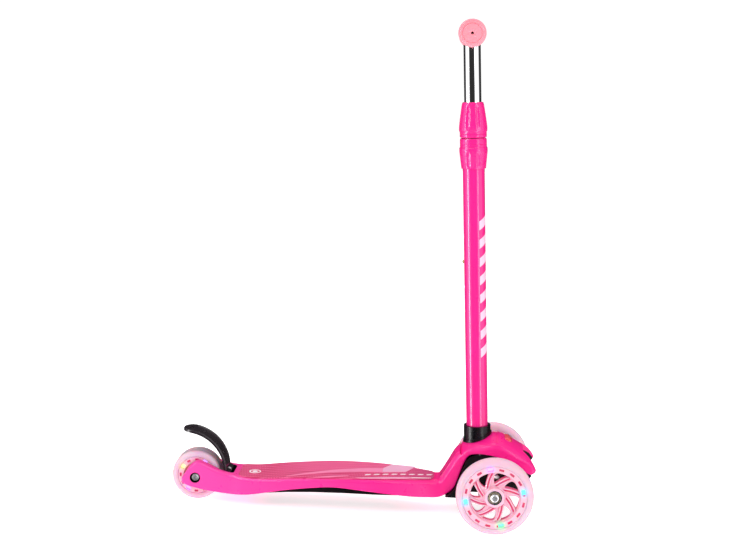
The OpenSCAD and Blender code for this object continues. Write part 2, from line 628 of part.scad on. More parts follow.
module brake_lever() color("dimgray") from_axle() difference() {
    union() {
        // Curved blade, raised border and the ladder of ribs inside it
        intersection() {
            translate([brake_c[0], 0, brake_c[1]]) rotate([90, 0, 0]) rotate_extrude($fn = 128)
                polygon(concat([for (s = [-1, 1]) [brake_r - brake_t, s * brake_w / 2]],
                    [[brake_r, brake_w / 2], [brake_r, brake_w / 2 - 4], [brake_r - 1.6, brake_w / 2 - 6],
                    [brake_r - 1.6, 6 - brake_w / 2], [brake_r, 4 - brake_w / 2], [brake_r, -brake_w / 2]]));
            union() {
                box([-484, -40, 50], [-420, 40, 130]);
                translate([-484, 0, 0]) cylinder(r = brake_w / 2 + 0.6, h = 130);
            }
        }
        translate([brake_c[0], 0, brake_c[1]]) for (a = [24 : 5 : 64]) rotate([0, -a, 0])
            box([brake_r - 2.4, 5.4 - brake_w / 2, -0.8], [brake_r - 0.4, brake_w / 2 - 5.4, 0.8]);
        // Foot in the deck's pocket, held by the pin
        translate([brake_pin_at[0], 0, brake_pin_at[1]]) across(6, -brake_w / 2, brake_w / 2);
        box([-436.2, -brake_w / 2, 46], [-428.6, brake_w / 2, 66]);
    }
    translate([brake_pin_at[0], 0, brake_pin_at[1]]) across(2.5 + run, -60, 60);
    // Room for the spring
    box([-450, -6.5, 30], [-420, 6.5, 53]);
    // Oval hole near the tip
    translate([-492, 0, 0]) oval(3, 3, 90, 130);
}
// Upright oval block: end radius, half distance between the ends' middles, lower and upper end
module oval(r, half, z0, z1) {
    translate([0, 0, z0]) linear_extrude(z1 - z0) {
        for (y = [-half, half]) translate([0, y]) circle(r = r);
        square([2 * r, 2 * half], center = true);
    }
}
module release_button() color("tomato") at_button() {
    r_top = button_r - 2.1;
    dome = 1.8;
    oval(button_r, button_half, -8, 0.6);
    translate([0, 0, 0.6]) {
        for (y = [-button_half, button_half]) translate([0, y, 0])
            cylinder(r1 = button_r, r2 = r_top, h = dome);
        side_plate([[-button_r, 0], [button_r, 0], [r_top, dome], [-r_top, dome]], 2 * button_half);
    }
}

deck_body();
grip_mat();
underdeck_brace();
brace_screws();
front_housing();
housing_screws();
lean_pivot_bolt();
lean_pivot_nut();
kingpin_bolts();
kingpin_nuts();
centring_springs();
rear_axle_bolt();
rear_axle_nut();
rear_spacers();
brake_pin();
brake_spring();
button_spring();
steering_yoke();
collar();
socket_pin();
lower_tube();
clamp_base();
clamp_collet();
clamp_nut();
t_bar();
tube_bush();
bar_plugs();
grip_left();
grip_right();
snap_spring();
snap_button();
tie_rod();
knuckle_left();
knuckle_right();
front_axle_bolt_left();
front_axle_bolt_right();
front_spacer_left();
front_spacer_right();
front_core_left();
front_core_right();
front_tyre_left();
front_tyre_right();
front_bearings_left();
front_bearings_right();
front_lights_left();
front_lights_right();
rear_core();
rear_tyre();
rear_bearings();
rear_lights();
brake_lever();
release_button();
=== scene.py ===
import json
import math

import bpy
import bmesh
from mathutils import Matrix, Vector


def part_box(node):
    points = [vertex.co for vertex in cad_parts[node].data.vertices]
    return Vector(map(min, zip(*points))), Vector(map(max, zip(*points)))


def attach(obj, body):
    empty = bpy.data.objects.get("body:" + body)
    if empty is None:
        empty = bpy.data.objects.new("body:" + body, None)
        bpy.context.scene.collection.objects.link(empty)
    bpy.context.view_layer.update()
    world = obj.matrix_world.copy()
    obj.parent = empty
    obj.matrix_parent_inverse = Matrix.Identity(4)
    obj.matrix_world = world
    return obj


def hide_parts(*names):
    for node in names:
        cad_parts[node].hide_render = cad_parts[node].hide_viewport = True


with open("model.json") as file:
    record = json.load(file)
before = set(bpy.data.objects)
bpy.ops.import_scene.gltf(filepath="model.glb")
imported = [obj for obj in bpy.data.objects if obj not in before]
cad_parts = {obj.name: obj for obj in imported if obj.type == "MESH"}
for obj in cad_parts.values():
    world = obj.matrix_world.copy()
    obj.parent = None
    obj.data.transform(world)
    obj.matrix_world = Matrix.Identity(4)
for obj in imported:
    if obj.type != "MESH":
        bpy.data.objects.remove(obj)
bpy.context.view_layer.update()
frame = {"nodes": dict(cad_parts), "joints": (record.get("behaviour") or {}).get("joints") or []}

MM = 0.001


def joint(name):
    """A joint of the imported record, by name."""
    return [j for j in frame["joints"] if j["name"] == name][0]


def middle(node):
    """Middle of a CAD node's box, in millimetres."""
    low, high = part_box(node)
    return (low + high) / 2 / MM


# ---- Camera ----

def set_camera():
    """A long lens on the scooter's right side, a little above it and turned slightly on its own axis."""
    place = Vector((0.150617, -2.259393, 0.726224))
    yaw, pitch, roll = 0.055765, 0.154091, 0.035734
    ahead = Vector((-math.sin(yaw) * math.cos(pitch), math.cos(yaw) * math.cos(pitch),
                    -math.sin(pitch)))
    level = Vector((math.cos(yaw), math.sin(yaw), 0))
    upright = level.cross(ahead)
    right = math.cos(roll) * level + math.sin(roll) * upright
    up = right.cross(ahead)
    data = bpy.data.cameras.new("camera")
    data.sensor_width = 36
    data.lens = 69.174
    camera = bpy.data.objects.new("camera", data)
    bpy.context.scene.collection.objects.link(camera)
    camera.matrix_world = Matrix.Translation(place) @ Matrix((right, up, -ahead)).transposed().to_4x4()
    bpy.context.scene.camera = camera


# ---- Studio ----

def set_studio():
    """Pale floor, soft lamps and a world whose reflections are two tall soft boxes."""
    scene = bpy.context.scene
    scene.view_settings.view_transform = "Standard"
    mesh = bpy.data.meshes.new("floor")
    half = 7
    corners = [(-half, -half, 0), (half, -half, 0), (half, half, 0), (-half, half, 0)]
    mesh.from_pydata(corners, [], [(0, 1, 2, 3)])
    floor = bpy.data.objects.new("floor", mesh)
    scene.collection.objects.link(floor)
    mat = bpy.data.materials.new("floor")
    mat.use_nodes = True
    shader = mat.node_tree.nodes["Principled BSDF"]
    shader.inputs["Base Color"].default_value = (0.93, 0.92, 0.93, 1)
    shader.inputs["Roughness"].default_value = 0.9
    shader.inputs["Specular IOR Level"].default_value = 0.1
    shader.inputs["Emission Color"].default_value = (1, 1, 1, 1)
    shader.inputs["Emission Strength"].default_value = 0.62
    mesh.materials.append(mat)
    floor.visible_glossy = False

    # Each lamp's place and size in metres, and its power in watts
    lamps = {
        "key": ((-1.6, -2.2, 2.6), 1.6, 34),
        "fill": ((2.4, -1.6, 1.6), 1.8, 14),
        "top": ((0.1, 0.5, 3.0), 2.2, 26),
        "back": ((-0.8, 2.6, 1.8), 1.6, 12),
    }
    for name, (place, size, watts) in lamps.items():
        data = bpy.data.lights.new(name, "AREA")
        data.size = size
        data.energy = watts
        lamp = bpy.data.objects.new(name, data)
        lamp.location = place
        aim = Vector((0, 0, 0.25)) - Vector(place)
        lamp.rotation_euler = aim.to_track_quat("-Z", "Y").to_euler()
        lamp.visible_glossy = False
        scene.collection.objects.link(lamp)

    world = bpy.data.worlds.new("studio")
    scene.world = world
    world.use_nodes = True
    tree = Nodes(world.node_tree)
    world.node_tree.nodes.clear()
    direction = tree.add("ShaderNodeTexCoord").outputs["Generated"]
    split = tree.add("ShaderNodeSeparateXYZ", Vector=direction)
    behind = tree.math("MULTIPLY", split.outputs["Y"], -1)
    azimuth = tree.math("ARCTAN2", split.outputs["X"], behind)
    # Place round the horizon, from 0 to 1, and how bright the reflection is there
    boxes = tree.ramp(tree.scale(azimuth, -math.pi, math.pi), [
        (0.0, 0.03), (0.205, 0.04), (0.235, 1.2), (0.298, 1.4), (0.308, 14.0), (0.328, 14.0),
        (0.338, 1.4), (0.365, 1.2), (0.39, 0.03), (0.565, 0.03), (0.6, 1.2), (0.61, 6.0),
        (0.628, 6.0), (0.638, 1.2), (0.74, 1.2), (0.775, 0.04), (1.0, 0.03)])
    overhead = tree.ramp(split.outputs["Z"], [(0.0, 0.0), (0.62, 0.0), (0.75, 0.5), (1.0, 0.6)])
    reflected = tree.math("MAXIMUM", boxes, overhead)
    path = tree.add("ShaderNodeLightPath")
    glossy = tree.math("MULTIPLY", path.outputs["Is Glossy Ray"],
                       tree.math("SUBTRACT", 1.0, path.outputs["Is Transmission Ray"]))
    camera = path.outputs["Is Camera Ray"]
    soft = tree.math("ADD", 0.62, tree.math("MULTIPLY", camera, 0.42))
    seen = tree.math("ADD", tree.math("MULTIPLY", glossy, reflected),
                     tree.math("MULTIPLY", tree.math("SUBTRACT", 1.0, glossy), soft))
    background = tree.add("ShaderNodeBackground", Color=(1, 1, 1, 1), Strength=seen)
    output = tree.add("ShaderNodeOutputWorld")
    tree.link(background.outputs[0], output.inputs["Surface"])


# ---- Materials ----

class Nodes:
    """Short calls for building a node tree."""

    def __init__(self, tree):
        self.tree = tree

    def link(self, a, b):
        self.tree.links.new(a, b)

    def put(self, socket, value):
        if isinstance(value, bpy.types.NodeSocket):
            self.link(value, socket)
        else:
            socket.default_value = value

    def add(self, kind, settings=None, **inputs):
        node = self.tree.nodes.new(kind)
        for key, value in (settings or {}).items():
            setattr(node, key, value)
        for key, value in inputs.items():
            self.put(node.inputs[key.replace("_", " ")], value)
        return node

    def math(self, operation, a, b=0.0):
        node = self.add("ShaderNodeMath", {"operation": operation})
        self.put(node.inputs[0], a)
        self.put(node.inputs[1], b)
        return node.outputs[0]

    def scale(self, value, low, high, to_low=0.0, to_high=1.0):
        node = self.add("ShaderNodeMapRange")
        for i, v in enumerate((value, low, high, to_low, to_high)):
            self.put(node.inputs[i], v)
        return node.outputs[0]

    def ramp(self, value, stops):
        """A ramp of grey levels; levels above 1 are kept."""
        node = self.add("ShaderNodeValToRGB")
        ramp = node.color_ramp
        while len(ramp.elements) < len(stops):
            ramp.elements.new(0.5)
        for element, (at, level) in zip(ramp.elements, stops):
            element.position = at
            element.color = (level, level, level, 1)
        self.link(value, node.inputs[0])
        return node.outputs[0]

    def mix(self, factor, a, b, blend="MIX"):
        node = self.add("ShaderNodeMix", {"data_type": "RGBA", "blend_type": blend})
        self.put(node.inputs[0], factor)
        self.put(node.inputs[6], a)
        self.put(node.inputs[7], b)
        return node.outputs[2]

    def noise(self, place, scale, detail=3.0, rough=0.55, stretch=None):
        if stretch:
            place = self.add("ShaderNodeMapping", Vector=place, Scale=stretch).outputs[0]
        node = self.add("ShaderNodeTexNoise", Vector=place, Scale=scale, Detail=detail, Roughness=rough)
        return node.outputs[0]


def shade(color, k):
    """The colour made darker or lighter, with its alpha."""
    return tuple(min(1, max(0, c * k)) for c in color[:3]) + (1,)


# Emission strength of the painted glow in the wheel plastic near its lamps
GLOW_STRENGTH = 0.3
LAMP_STRENGTH = 1.3


def surface(name, color, rough, vary=0.06, rough_vary=0.08, grain=900, grain_depth=0.00002, scratches=0.25,
            shade_and_dust=(0.5, 0.3, 0.36), shade_and_dust_amount=0.05, tint=None, glow=(), **constants):
    """A material with cloudy colour, uneven gloss, fine grain, hairline scratches, and painted shade with
    dusty specks in the corners.
    tint may change the colour before the painted shade and dust. glow lists the places, colours and reaches
    of a painted glow:
    near each lamp the plastic gets emission and a tint of the lamp's colour. constants are the shader's own
    sockets, with _ for spaces."""
    mat = bpy.data.materials.new(name)
    mat.use_nodes = True
    tree = Nodes(mat.node_tree)
    shader = mat.node_tree.nodes["Principled BSDF"]
    place = tree.add("ShaderNodeTexCoord").outputs["Object"]
    cloud = tree.noise(place, 22, 4)
    base = tree.mix(tree.scale(cloud, 0.3, 0.7), shade(color, 1 - vary), shade(color, 1 + vary))
    if tint:
        base = tint(tree, place, base)
    light = (0, 0, 0, 1)
    # Painted glow: near each lamp the plastic gets emission in the lamp's colour, and its own colour is
    # tinted towards it
    for spot, color, reach in glow:
        away = tree.add("ShaderNodeVectorMath", {"operation": "DISTANCE"})
        tree.link(place, away.inputs[0])
        away.inputs[1].default_value = spot
        near = tree.math("POWER", tree.scale(away.outputs["Value"], reach, 0.002), 1.6)
        light = tree.mix(near, light, color + (1,), "ADD")
        base = tree.mix(tree.math("MULTIPLY", near, 0.8), base, color + (1,))
    # Painted shade: where ambient occlusion finds corners and hollows, the colour is mixed towards the given
    # shade colour, broken up by dusty specks
    hollow = tree.add("ShaderNodeAmbientOcclusion", {"samples": 6}, Distance=0.006).outputs["AO"]
    speck = tree.noise(place, 300, 6, 0.7)
    shade_and_dust_mask = tree.math("MULTIPLY", tree.scale(hollow, 0.35, 0.85, shade_and_dust_amount * 2, 0.0),
                      tree.scale(speck, 0.35, 0.7))
    base = tree.mix(shade_and_dust_mask, base, shade_and_dust + (1,))
    tree.link(base, shader.inputs["Base Color"])
    hair = tree.noise(place, 55, 8, 0.75, stretch=(1.0, 9.0, 9.0))
    lines = tree.scale(hair, 0.66, 0.72)
    smudge = tree.noise(place, 75, 5, 0.65)
    gloss = tree.scale(smudge, 0.3, 0.7, max(0.02, rough - rough_vary), rough + rough_vary)
    gloss = tree.math("ADD", gloss, tree.math("MULTIPLY", lines, 0.25 * scratches))
    tree.link(gloss, shader.inputs["Roughness"])
    fine = tree.noise(place, grain, 3, 0.5)
    height = tree.math("SUBTRACT", fine, tree.math("MULTIPLY", lines, scratches))
    bump = tree.add("ShaderNodeBump", Height=height, Distance=grain_depth, Strength=1.0)
    tree.link(bump.outputs[0], shader.inputs["Normal"])
    for key, value in constants.items():
        shader.inputs[key.replace("_", " ")].default_value = value
    if glow:
        tree.put(shader.inputs["Emission Color"], light)
        shader.inputs["Emission Strength"].default_value = GLOW_STRENGTH
    return mat


HOT_PINK = (0.97, 0.010, 0.255)
VIOLET_PINK = (0.97, 0.095, 0.48, 1)


def toward_rear(tree, place, base):
    """The pink turns a little lighter and more violet towards the rear wheel."""
    x = tree.add("ShaderNodeSeparateXYZ", Vector=place).outputs["X"]
    share = tree.scale(x, 0.05, -0.27, 0.0, 0.6)
    return tree.mix(share, base, VIOLET_PINK)


LAMP_COLORS = {
    "cyan": (0.12, 0.75, 1.0), "violet": (0.55, 0.35, 1.0), "green": (0.15, 1.0, 0.45),
    "warm": (1.0, 0.85, 0.35)}
# Each wheel's lamps: node, radius in millimetres, then angle, colour and reach of the painted glow in metres
LAMPS = {
    "left": ("front_lights_left", 45, [(14, "cyan", 0.012), (101, "violet", 0.010), (191, "cyan", 0.012),
                                       (285, "green", 0.012)]),
    "right": ("front_lights_right", 45, [(14, "cyan", 0.013), (101, "violet", 0.011), (191, "cyan", 0.013),
                                         (285, "green", 0.013)]),
    "rear": ("rear_lights", 26, [(60, "violet", 0.008), (150, "warm", 0.012), (240, "violet", 0.008),
                                 (330, "cyan", 0.013)]),
}


def lamp_place(node, radius, angle):
    """Where a lamp is at rest, in metres, on the wheel's outer side."""
    x, y = polar(radius, angle)
    out = wheel_place(node) @ Vector((x, y, half_width(node)))
    return tuple(out * MM)


def half_width(node):
    """Half the width of a wheel's node, in millimetres."""
    low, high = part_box(node)
    return (high.y - low.y) / 2 / MM


def make_materials():
    # Colours of the painted shade, with dusty specks, in corners and hollows
    pink_shade_and_dust = (0.7, 0.02, 0.2)
    black_shade_and_dust = (0.03, 0.02, 0.025)
    m = {}
    m["deck"] = surface("deck_plastic", HOT_PINK, 0.3, vary=0.03, rough_vary=0.04, grain=2600,
                        grain_depth=0.000005, scratches=0.1, tint=toward_rear, shade_and_dust=pink_shade_and_dust,
                        shade_and_dust_amount=0.03, Coat_Weight=0.2, Coat_Roughness=0.08, Specular_IOR_Level=0.3)
    m["clamp"] = surface("clamp_plastic", HOT_PINK, 0.28, vary=0.03, grain=2600, grain_depth=0.000005,
                         scratches=0.08, shade_and_dust=pink_shade_and_dust, Coat_Weight=0.25, Coat_Roughness=0.08)
    m["paint"] = surface("painted_tube", HOT_PINK, 0.34, vary=0.04, grain=1400, grain_depth=0.000002,
                         scratches=0.1, Coat_Weight=1.0, Coat_Roughness=0.03, Specular_IOR_Level=0.2)
    m["black"] = surface("black_plastic", (0.004, 0.0035, 0.0045), 0.45, vary=0.25, grain=3200,
                         grain_depth=0.00003, shade_and_dust=black_shade_and_dust, Specular_IOR_Level=0.2)
    m["collar"] = surface("collar_plastic", (0.0035, 0.003, 0.005), 0.3, vary=0.25, grain=3200,
                          shade_and_dust=black_shade_and_dust, Specular_IOR_Level=0.3)
    m["brake"] = surface("brake_plastic", (0.022, 0.016, 0.021), 0.22, vary=0.15, grain=2800,
                         grain_depth=0.00003, shade_and_dust=(0.004, 0.003, 0.004), shade_and_dust_amount=0.6)
    m["steel"] = surface("zinc_steel", (0.85, 0.84, 0.87), 0.42, vary=0.08, grain=700, Metallic=1.0,
                         shade_and_dust=(0.2, 0.17, 0.15), shade_and_dust_amount=0.3)
    m["race"] = surface("bearing_race", (0.30, 0.28, 0.28), 0.25, vary=0.1, Metallic=1.0,
                        shade_and_dust=(0.08, 0.06, 0.05))
    m["shield"] = surface("bearing_shield", (0.62, 0.50, 0.36), 0.35, vary=0.1, Metallic=1.0,
                          shade_and_dust=(0.1, 0.08, 0.05))
    m["chrome"] = surface("chrome", (0.93, 0.92, 0.94), 0.05, vary=0.02, rough_vary=0.025, grain=500,
                          grain_depth=0.000002, scratches=0.15, Metallic=1.0, shade_and_dust=(0.4, 0.38, 0.4),
                          shade_and_dust_amount=0.05)
    m["brass"] = surface("brass", (0.78, 0.58, 0.27), 0.25, vary=0.1, Metallic=1.0, shade_and_dust=(0.2, 0.12, 0.05))
    m["rubber"] = surface("grip_rubber", (0.98, 0.29, 0.36), 0.5, vary=0.04, grain=1800, grain_depth=0.00001,
                          scratches=0.1, shade_and_dust=(0.85, 0.2, 0.27), shade_and_dust_amount=0.35, Sheen_Weight=0.15,
                          Sheen_Roughness=0.4, Subsurface_Weight=0.1, Subsurface_Scale=0.004)
    m["button"] = surface("button_plastic", (0.93, 0.10, 0.13), 0.18, vary=0.06, grain=1500,
                          Subsurface_Weight=0.3, Subsurface_Scale=0.003, Coat_Weight=0.5)
    # Deep pink painted shade for sunk windows and the grooves between spoke ribs
    m["magenta"] = surface("window_recess_shade", (0.86, 0.07, 0.22), 0.3, vary=0.1, grain=1500)
    # Cores and tyres get a painted glow round each of their lamps
    for wheel, (node, radius, spots) in LAMPS.items():
        glow = [(lamp_place(node, radius, angle), LAMP_COLORS[color], reach)
                for angle, color, reach in spots]
        m["core_" + wheel] = surface(
            "core_plastic_" + wheel, (1.0, 0.56, 0.68), 0.22, vary=0.05, grain=1500,
            shade_and_dust=(0.85, 0.12, 0.3), shade_and_dust_amount=0.5, glow=glow, Subsurface_Weight=0.5,
            Subsurface_Scale=0.006, Coat_Weight=0.3)
        m["tyre_" + wheel] = surface(
            "tyre_urethane_" + wheel, (1.0, 0.57, 0.69), 0.16, vary=0.04, grain=800,
            shade_and_dust=(0.9, 0.32, 0.48), shade_and_dust_amount=0.3, glow=glow, Subsurface_Weight=0.8,
            Subsurface_Scale=0.02, Transmission_Weight=0.05, IOR=1.42, Coat_Weight=0.1,
            Specular_IOR_Level=0.15)
    m["core_wall"] = surface("core_wall", (0.95, 0.22, 0.42), 0.3, vary=0.06, grain=1500,
                             Subsurface_Weight=0.3, Subsurface_Scale=0.004)
    m["print"] = surface("printed_panel", (0.92, 0.46, 0.66), 0.35, vary=0.03, grain=1800)
    m["sweep"] = surface("printed_sweep", (0.95, 0.26, 0.48), 0.35, vary=0.03, grain=1800)
    m["tube_print"] = surface("tube_print", (1.0, 0.62, 0.80), 0.25, vary=0.03, grain=1800)
    m["white_print"] = surface("white_print", (0.98, 0.93, 0.96), 0.35, vary=0.02, grain=1800)
    for name, color in LAMP_COLORS.items():
        m["lamp_" + name] = surface("lamp_" + name, color, 0.3, vary=0.05, Emission_Color=color + (1,),
                                    Emission_Strength=LAMP_STRENGTH)
    return m


# ---- Meshes ----

def build(name, points, faces, materials, body, nodes=(), slot=None, angle=40, face_material=None):
    """A mesh piece from points in millimetres. It rides on a body and may stand for CAD nodes."""
    mesh = bpy.data.meshes.new(name)
    mesh.from_pydata([Vector(p) * MM for p in points], [], faces)
    for mat in materials:
        mesh.materials.append(mat)
    if face_material:
        for polygon, index in zip(mesh.polygons, face_material):
            polygon.material_index = index
    b = bmesh.new()
    b.from_mesh(mesh)
    bmesh.ops.remove_doubles(b, verts=b.verts, dist=1e-7)
    bmesh.ops.recalc_face_normals(b, faces=b.faces)
    b.to_mesh(mesh)
    b.free()
    piece = bpy.data.objects.new(name, mesh)
    bpy.context.scene.collection.objects.link(piece)
    smooth(piece, angle)
    if body:
        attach(piece, body)
        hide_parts(*nodes)
    return piece


def smooth(piece, angle):
    piece.data.shade_smooth()
    piece.data.set_sharp_from_angle(angle=math.radians(angle))


def rings(sections, closed=True, caps=False):
    """Faces between equal rings of points, each ring closed unless closed is False."""
    n = len(sections[0])
    faces = []
    for i in range(len(sections) - 1):
        for j in range(n if closed else n - 1):
            k = (j + 1) % n
            faces.append((i * n + j, (i + 1) * n + j, (i + 1) * n + k, i * n + k))
    if caps:
        faces += [tuple(range(n)), tuple(range((len(sections) - 1) * n, len(sections) * n))]
    return [p for s in sections for p in s], faces


def spin(profile, count, radius=None):
    """A closed profile of (radius, height) turned about Z; radius(r, z, angle) may change the radius."""
    sections = []
    for i in range(count + 1):
        a = 2 * math.pi * (i % count) / count
        ring = []
        for r, z in profile:
            q = radius(r, z, a) if radius else r
            ring.append((q * math.cos(a), q * math.sin(a), z))
        sections.append(ring)
    return rings(sections)


def prism(outline, z0, z1):
    """A closed block from an outline in X and Y, upright between two heights."""
    return rings([[(x, y, z0) for x, y in outline], [(x, y, z1) for x, y in outline]], caps=True)


def block(low, high):
    (x0, y0, z0), (x1, y1, z1) = low, high
    return prism([(x0, y0), (x1, y0), (x1, y1), (x0, y1)], z0, z1)


def rounded(outline, radius, steps=5):
    """The outline with each corner turned on a curve that starts at most radius away from it."""
    out = []
    n = len(outline)
    for i, corner in enumerate(outline):
        c = Vector(corner)
        a, b = Vector(outline[i - 1]) - c, Vector(outline[(i + 1) % n]) - c
        pa = c + a.normalized() * min(radius, a.length * 0.48)
        pb = c + b.normalized() * min(radius, b.length * 0.48)
        for k in range(steps + 1):
            t = k / steps
            out.append(tuple((1 - t) ** 2 * pa + 2 * t * (1 - t) * c + t * t * pb))
    return out


def circle(r, count=48, x=0.0, y=0.0):
    return [(x + r * math.cos(2 * math.pi * i / count), y + r * math.sin(2 * math.pi * i / count))
            for i in range(count)]


def polar(r, degrees):
    return (r * math.cos(math.radians(degrees)), r * math.sin(math.radians(degrees)))


def joined(parts):
    """One list of points and one of faces from several."""
    points, faces = [], []
    for p, f in parts:
        n = len(points)
        points += p
        faces += [tuple(i + n for i in face) for face in f]
    return points, faces


def moved(part, matrix):
    points, faces = part
    return [tuple(matrix @ Vector(p)) for p in points], faces


def cut(piece, cutters, operation="DIFFERENCE"):
    """Cuts closed shapes, given as (points, faces, material or None), out of a piece."""
    for i, (points, faces, mat) in enumerate(cutters):
        tool = build("cutter", points, faces, [mat or piece.data.materials[0]], None)
        step = piece.modifiers.new("cut", "BOOLEAN")
        step.operation = operation
        step.solver = "EXACT"
        step.object = tool
        step.material_mode = "TRANSFER"
        bpy.context.view_layer.update()
        done = bpy.data.meshes.new_from_object(piece.evaluated_get(bpy.context.evaluated_depsgraph_get()))
        piece.modifiers.clear()
        old = piece.data
        name = old.name
        piece.data = done
        bpy.data.meshes.remove(old)
        done.name = name
        bpy.data.objects.remove(tool)


def taken_away(piece):
    """The points and faces of a helper piece, in millimetres. The piece itself is removed."""
    points = [tuple(v.co / MM) for v in piece.data.vertices]
    faces = [tuple(p.vertices) for p in piece.data.polygons]
    bpy.data.objects.remove(piece)
    return points, faces


# ---- Places, in millimetres ----

FRONT_X = middle("front_tyre_right").x
AXLE = Matrix.Translation((FRONT_X, 0, 0))
# The release button's own frame, from the front axle, with Z out of the cover
BUTTON = Matrix.Translation((21, 0, 124)) @ Matrix.Rotation(math.radians(27), 4, "Y")
COLUMN_Z = 120
BAR_R = 11
GRIP_PAST_BAR = 6  # how far a grip's end stands past the crossbar

column_axis = Vector(joint("clamp_turn")["axis"])
turn = Vector(joint("clamp_turn")["pos_m"]) / MM
column_foot = turn - column_axis * ((turn.z - COLUMN_Z) / column_axis.z)
rake = math.atan2(-column_axis.x, column_axis.z)
COLUMN = Matrix.Translation(column_foot) @ Matrix.Rotation(-rake, 4, "Y")
CLAMP = COLUMN @ Matrix.Translation((0, 0, (turn - column_foot).length))
low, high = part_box("t_bar")
BAR_L = ((high.z / MM - BAR_R) - COLUMN_Z) / column_axis.z
BAR_END = high.y / MM + GRIP_PAST_BAR


# ---- Deck ----

# Stations along the deck, neck and front cover, in the mid-plane, from the front axle:
# upper point x and z, lower point x and z, half width, curvature across the upper face, edge chamfer
STATIONS = [
    (-502, 38, -502, 31, 30, 0, 2), (-499, 44, -500, 29, 31, 0, 3),
    (-489, 59, -490, 25.5, 32, 0, 4), (-479, 66.5, -480, 23, 32, 0, 4),
    (-468, 64.5, -468, 20.5, 32, 0, 4), (-452, 57.5, -452, 18.5, 33, 0, 4),
    (-436, 52, -438, 17.5, 34.5, 0, 4), (-420, 48.5, -422, 17, 37.5, 0, 4),
    (-400, 46.8, -402, 18.5, 43.5, 0, 4), (-380, 46.8, -380, 22, 47, 0, 4),
    (-350, 49.2, -350, 29, 51, 0, 4), (-320, 52, -320, 35, 53.5, 0, 3.5),
    (-280, 54.8, -280, 41, 56.5, 0, 3.5), (-250, 56.2, -250, 43, 57.5, 0, 3.5),
    (-210, 57, -210, 39.5, 55.5, 0, 4), (-170, 57, -170, 34.5, 50, 0, 4.5),
    (-130, 56, -130, 29, 40, 0, 5), (-104, 55, -104, 27, 32, 0, 5.5),
    (-90, 55, -86, 27.5, 28, 0, 6), (-85.5, 58, -71, 35.5, 28, 0, 6.5),
    (-79, 69, -62, 46, 29, 0.001, 6.5), (-71.5, 83, -57, 60, 30, 0.003, 6.5),
    (-64.5, 97, -51, 79, 31, 0.006, 6.5), (-57, 107.5, -45.5, 93, 32, 0.01, 6),
    (-48, 117.5, -39.5, 100.5, 34, 0.014, 5.5), (-27, 126, -27, 104, 38, 0.017, 5),
    (-4, 131.5, -11, 104, 41, 0.0155, 4.5), (9, 130, 3, 102, 43, 0.012, 4.5),
    (26, 121.5, 18, 97.5, 45, 0.009, 4.5), (42, 113, 35, 89, 47, 0.008, 4.5),
    (54, 105, 49, 81, 48, 0.006, 4), (62, 95, 58, 77.5, 47.5, 0.004, 3),
    (66.3, 86, 63.3, 80, 45, 0.002, 1.5)]
MAT_ROWS = (7.5, 17.5)  # the mat's ends, in places along STATIONS
MAT_T = 1.3
PRINT_T = 0.55  # the printed panels' upper face above the mat's own thickness
DECK_END = 18.0  # place in STATIONS where the deck turns up into the neck


def station(t):
    """The station at a place between rows, on a Catmull-Rom curve."""
    last = len(STATIONS) - 1
    i = min(int(t), last - 1)
    u = t - i
    a, b, c, d = (STATIONS[min(max(k, 0), last)] for k in (i - 1, i, i + 1, i + 2))
    return tuple(0.5 * (2 * q + (r - p) * u + (2 * p - 5 * q + 4 * r - s) * u * u
                        + (3 * q - p - 3 * r + s) * u ** 3)
                 for p, q, r, s in zip(a, b, c, d))


def fall(y, k):
    """How far a face of curvature k has dropped at a distance y from its middle."""
    return k * y * y / (1 + math.sqrt(max(1 - k * k * y * y, 0)))


def arc(centre, r, a0, a1, steps):
    return [(centre[0] + r * math.cos(math.radians(a0 + (a1 - a0) * i / steps)),
             centre[1] + r * math.sin(math.radians(a0 + (a1 - a0) * i / steps))) for i in range(steps + 1)]


def deck_section(s):
    """A cross-section of the deck: level top, chamfered upper edge with soft creases, rounded lower edge."""
    x0, z0, x1, z1, w, k, c = s
    thick = math.hypot(x0 - x1, z0 - z1)
    c = min(c, thick * 0.42)
    soft = 0.32 * c
    low_r = min(3, thick * 0.35)
    half = [((w - c) * i / 10, thick - fall((w - c) * i / 10, k)) for i in range(10)]
    drop = fall(w - c, k)
    side = fall(w, k) * 0.6 + drop * 0.4
    corner = rounded([(0, 0), (w - c, thick - drop), (w, thick - c - side), (w, 0)], soft, 4)[5:15]
    foot = arc((w - low_r, low_r), low_r, 0, -90, 4)
    half += corner + foot + [(w * 0.5, 0)]
    full = half + [(0, 0)] + [(-y, z) for y, z in reversed(half[1:])]
    n = Vector((x0 - x1, z0 - z1)).normalized()
    return [(x1 + n.x * z, y, z1 + n.y * z) for y, z in full]


def turned_x(profile, centre_z, count=72):
    """A profile of (radius, x) from end to end, turned about a fore-and-aft axis."""
    sections = []
    for i in range(count + 1):
        a = 2 * math.pi * (i % count) / count
        sections.append([(x, r * math.cos(a), centre_z + r * math.sin(a)) for r, x in profile])
    return rings(sections, closed=False)


def across(r, x, z, y0, y1, count=48):
    """A cylinder that lies along Y."""
    return rings([[(x + a, y, z + b) for a, b in circle(r, count)] for y in (y0, y1)], caps=True)


def station_at(x):
    """The deck's station at a distance from the front axle."""
    low, high = 0.0, DECK_END
    for _ in range(40):
        mid = (low + high) / 2
        if station(mid)[0] < x:
            low = mid
        else:
            high = mid
    return station(low)


def deck_top(x):
    return station_at(x)[1]


def deck_half(x):
    return station_at(x)[4]


def rib_pockets(skin=5, pitch=26, rib=3):
    """The pockets between the ribs under the deck."""
    parts = []
    for i in range(11):
        x = -388 + pitch * i
        half = min(deck_half(x), deck_half(x + pitch)) - 5
        top = min(deck_top(x), deck_top(x + pitch)) - skin
        for y0, y1 in ((rib / 2, half / 2 - rib / 2), (half / 2 + rib / 2, half)):
            for s in (-1, 1):
                parts.append(block((x, min(s * y0, s * y1), 0), (x + pitch - rib, max(s * y0, s * y1), top)))
    return joined(parts)


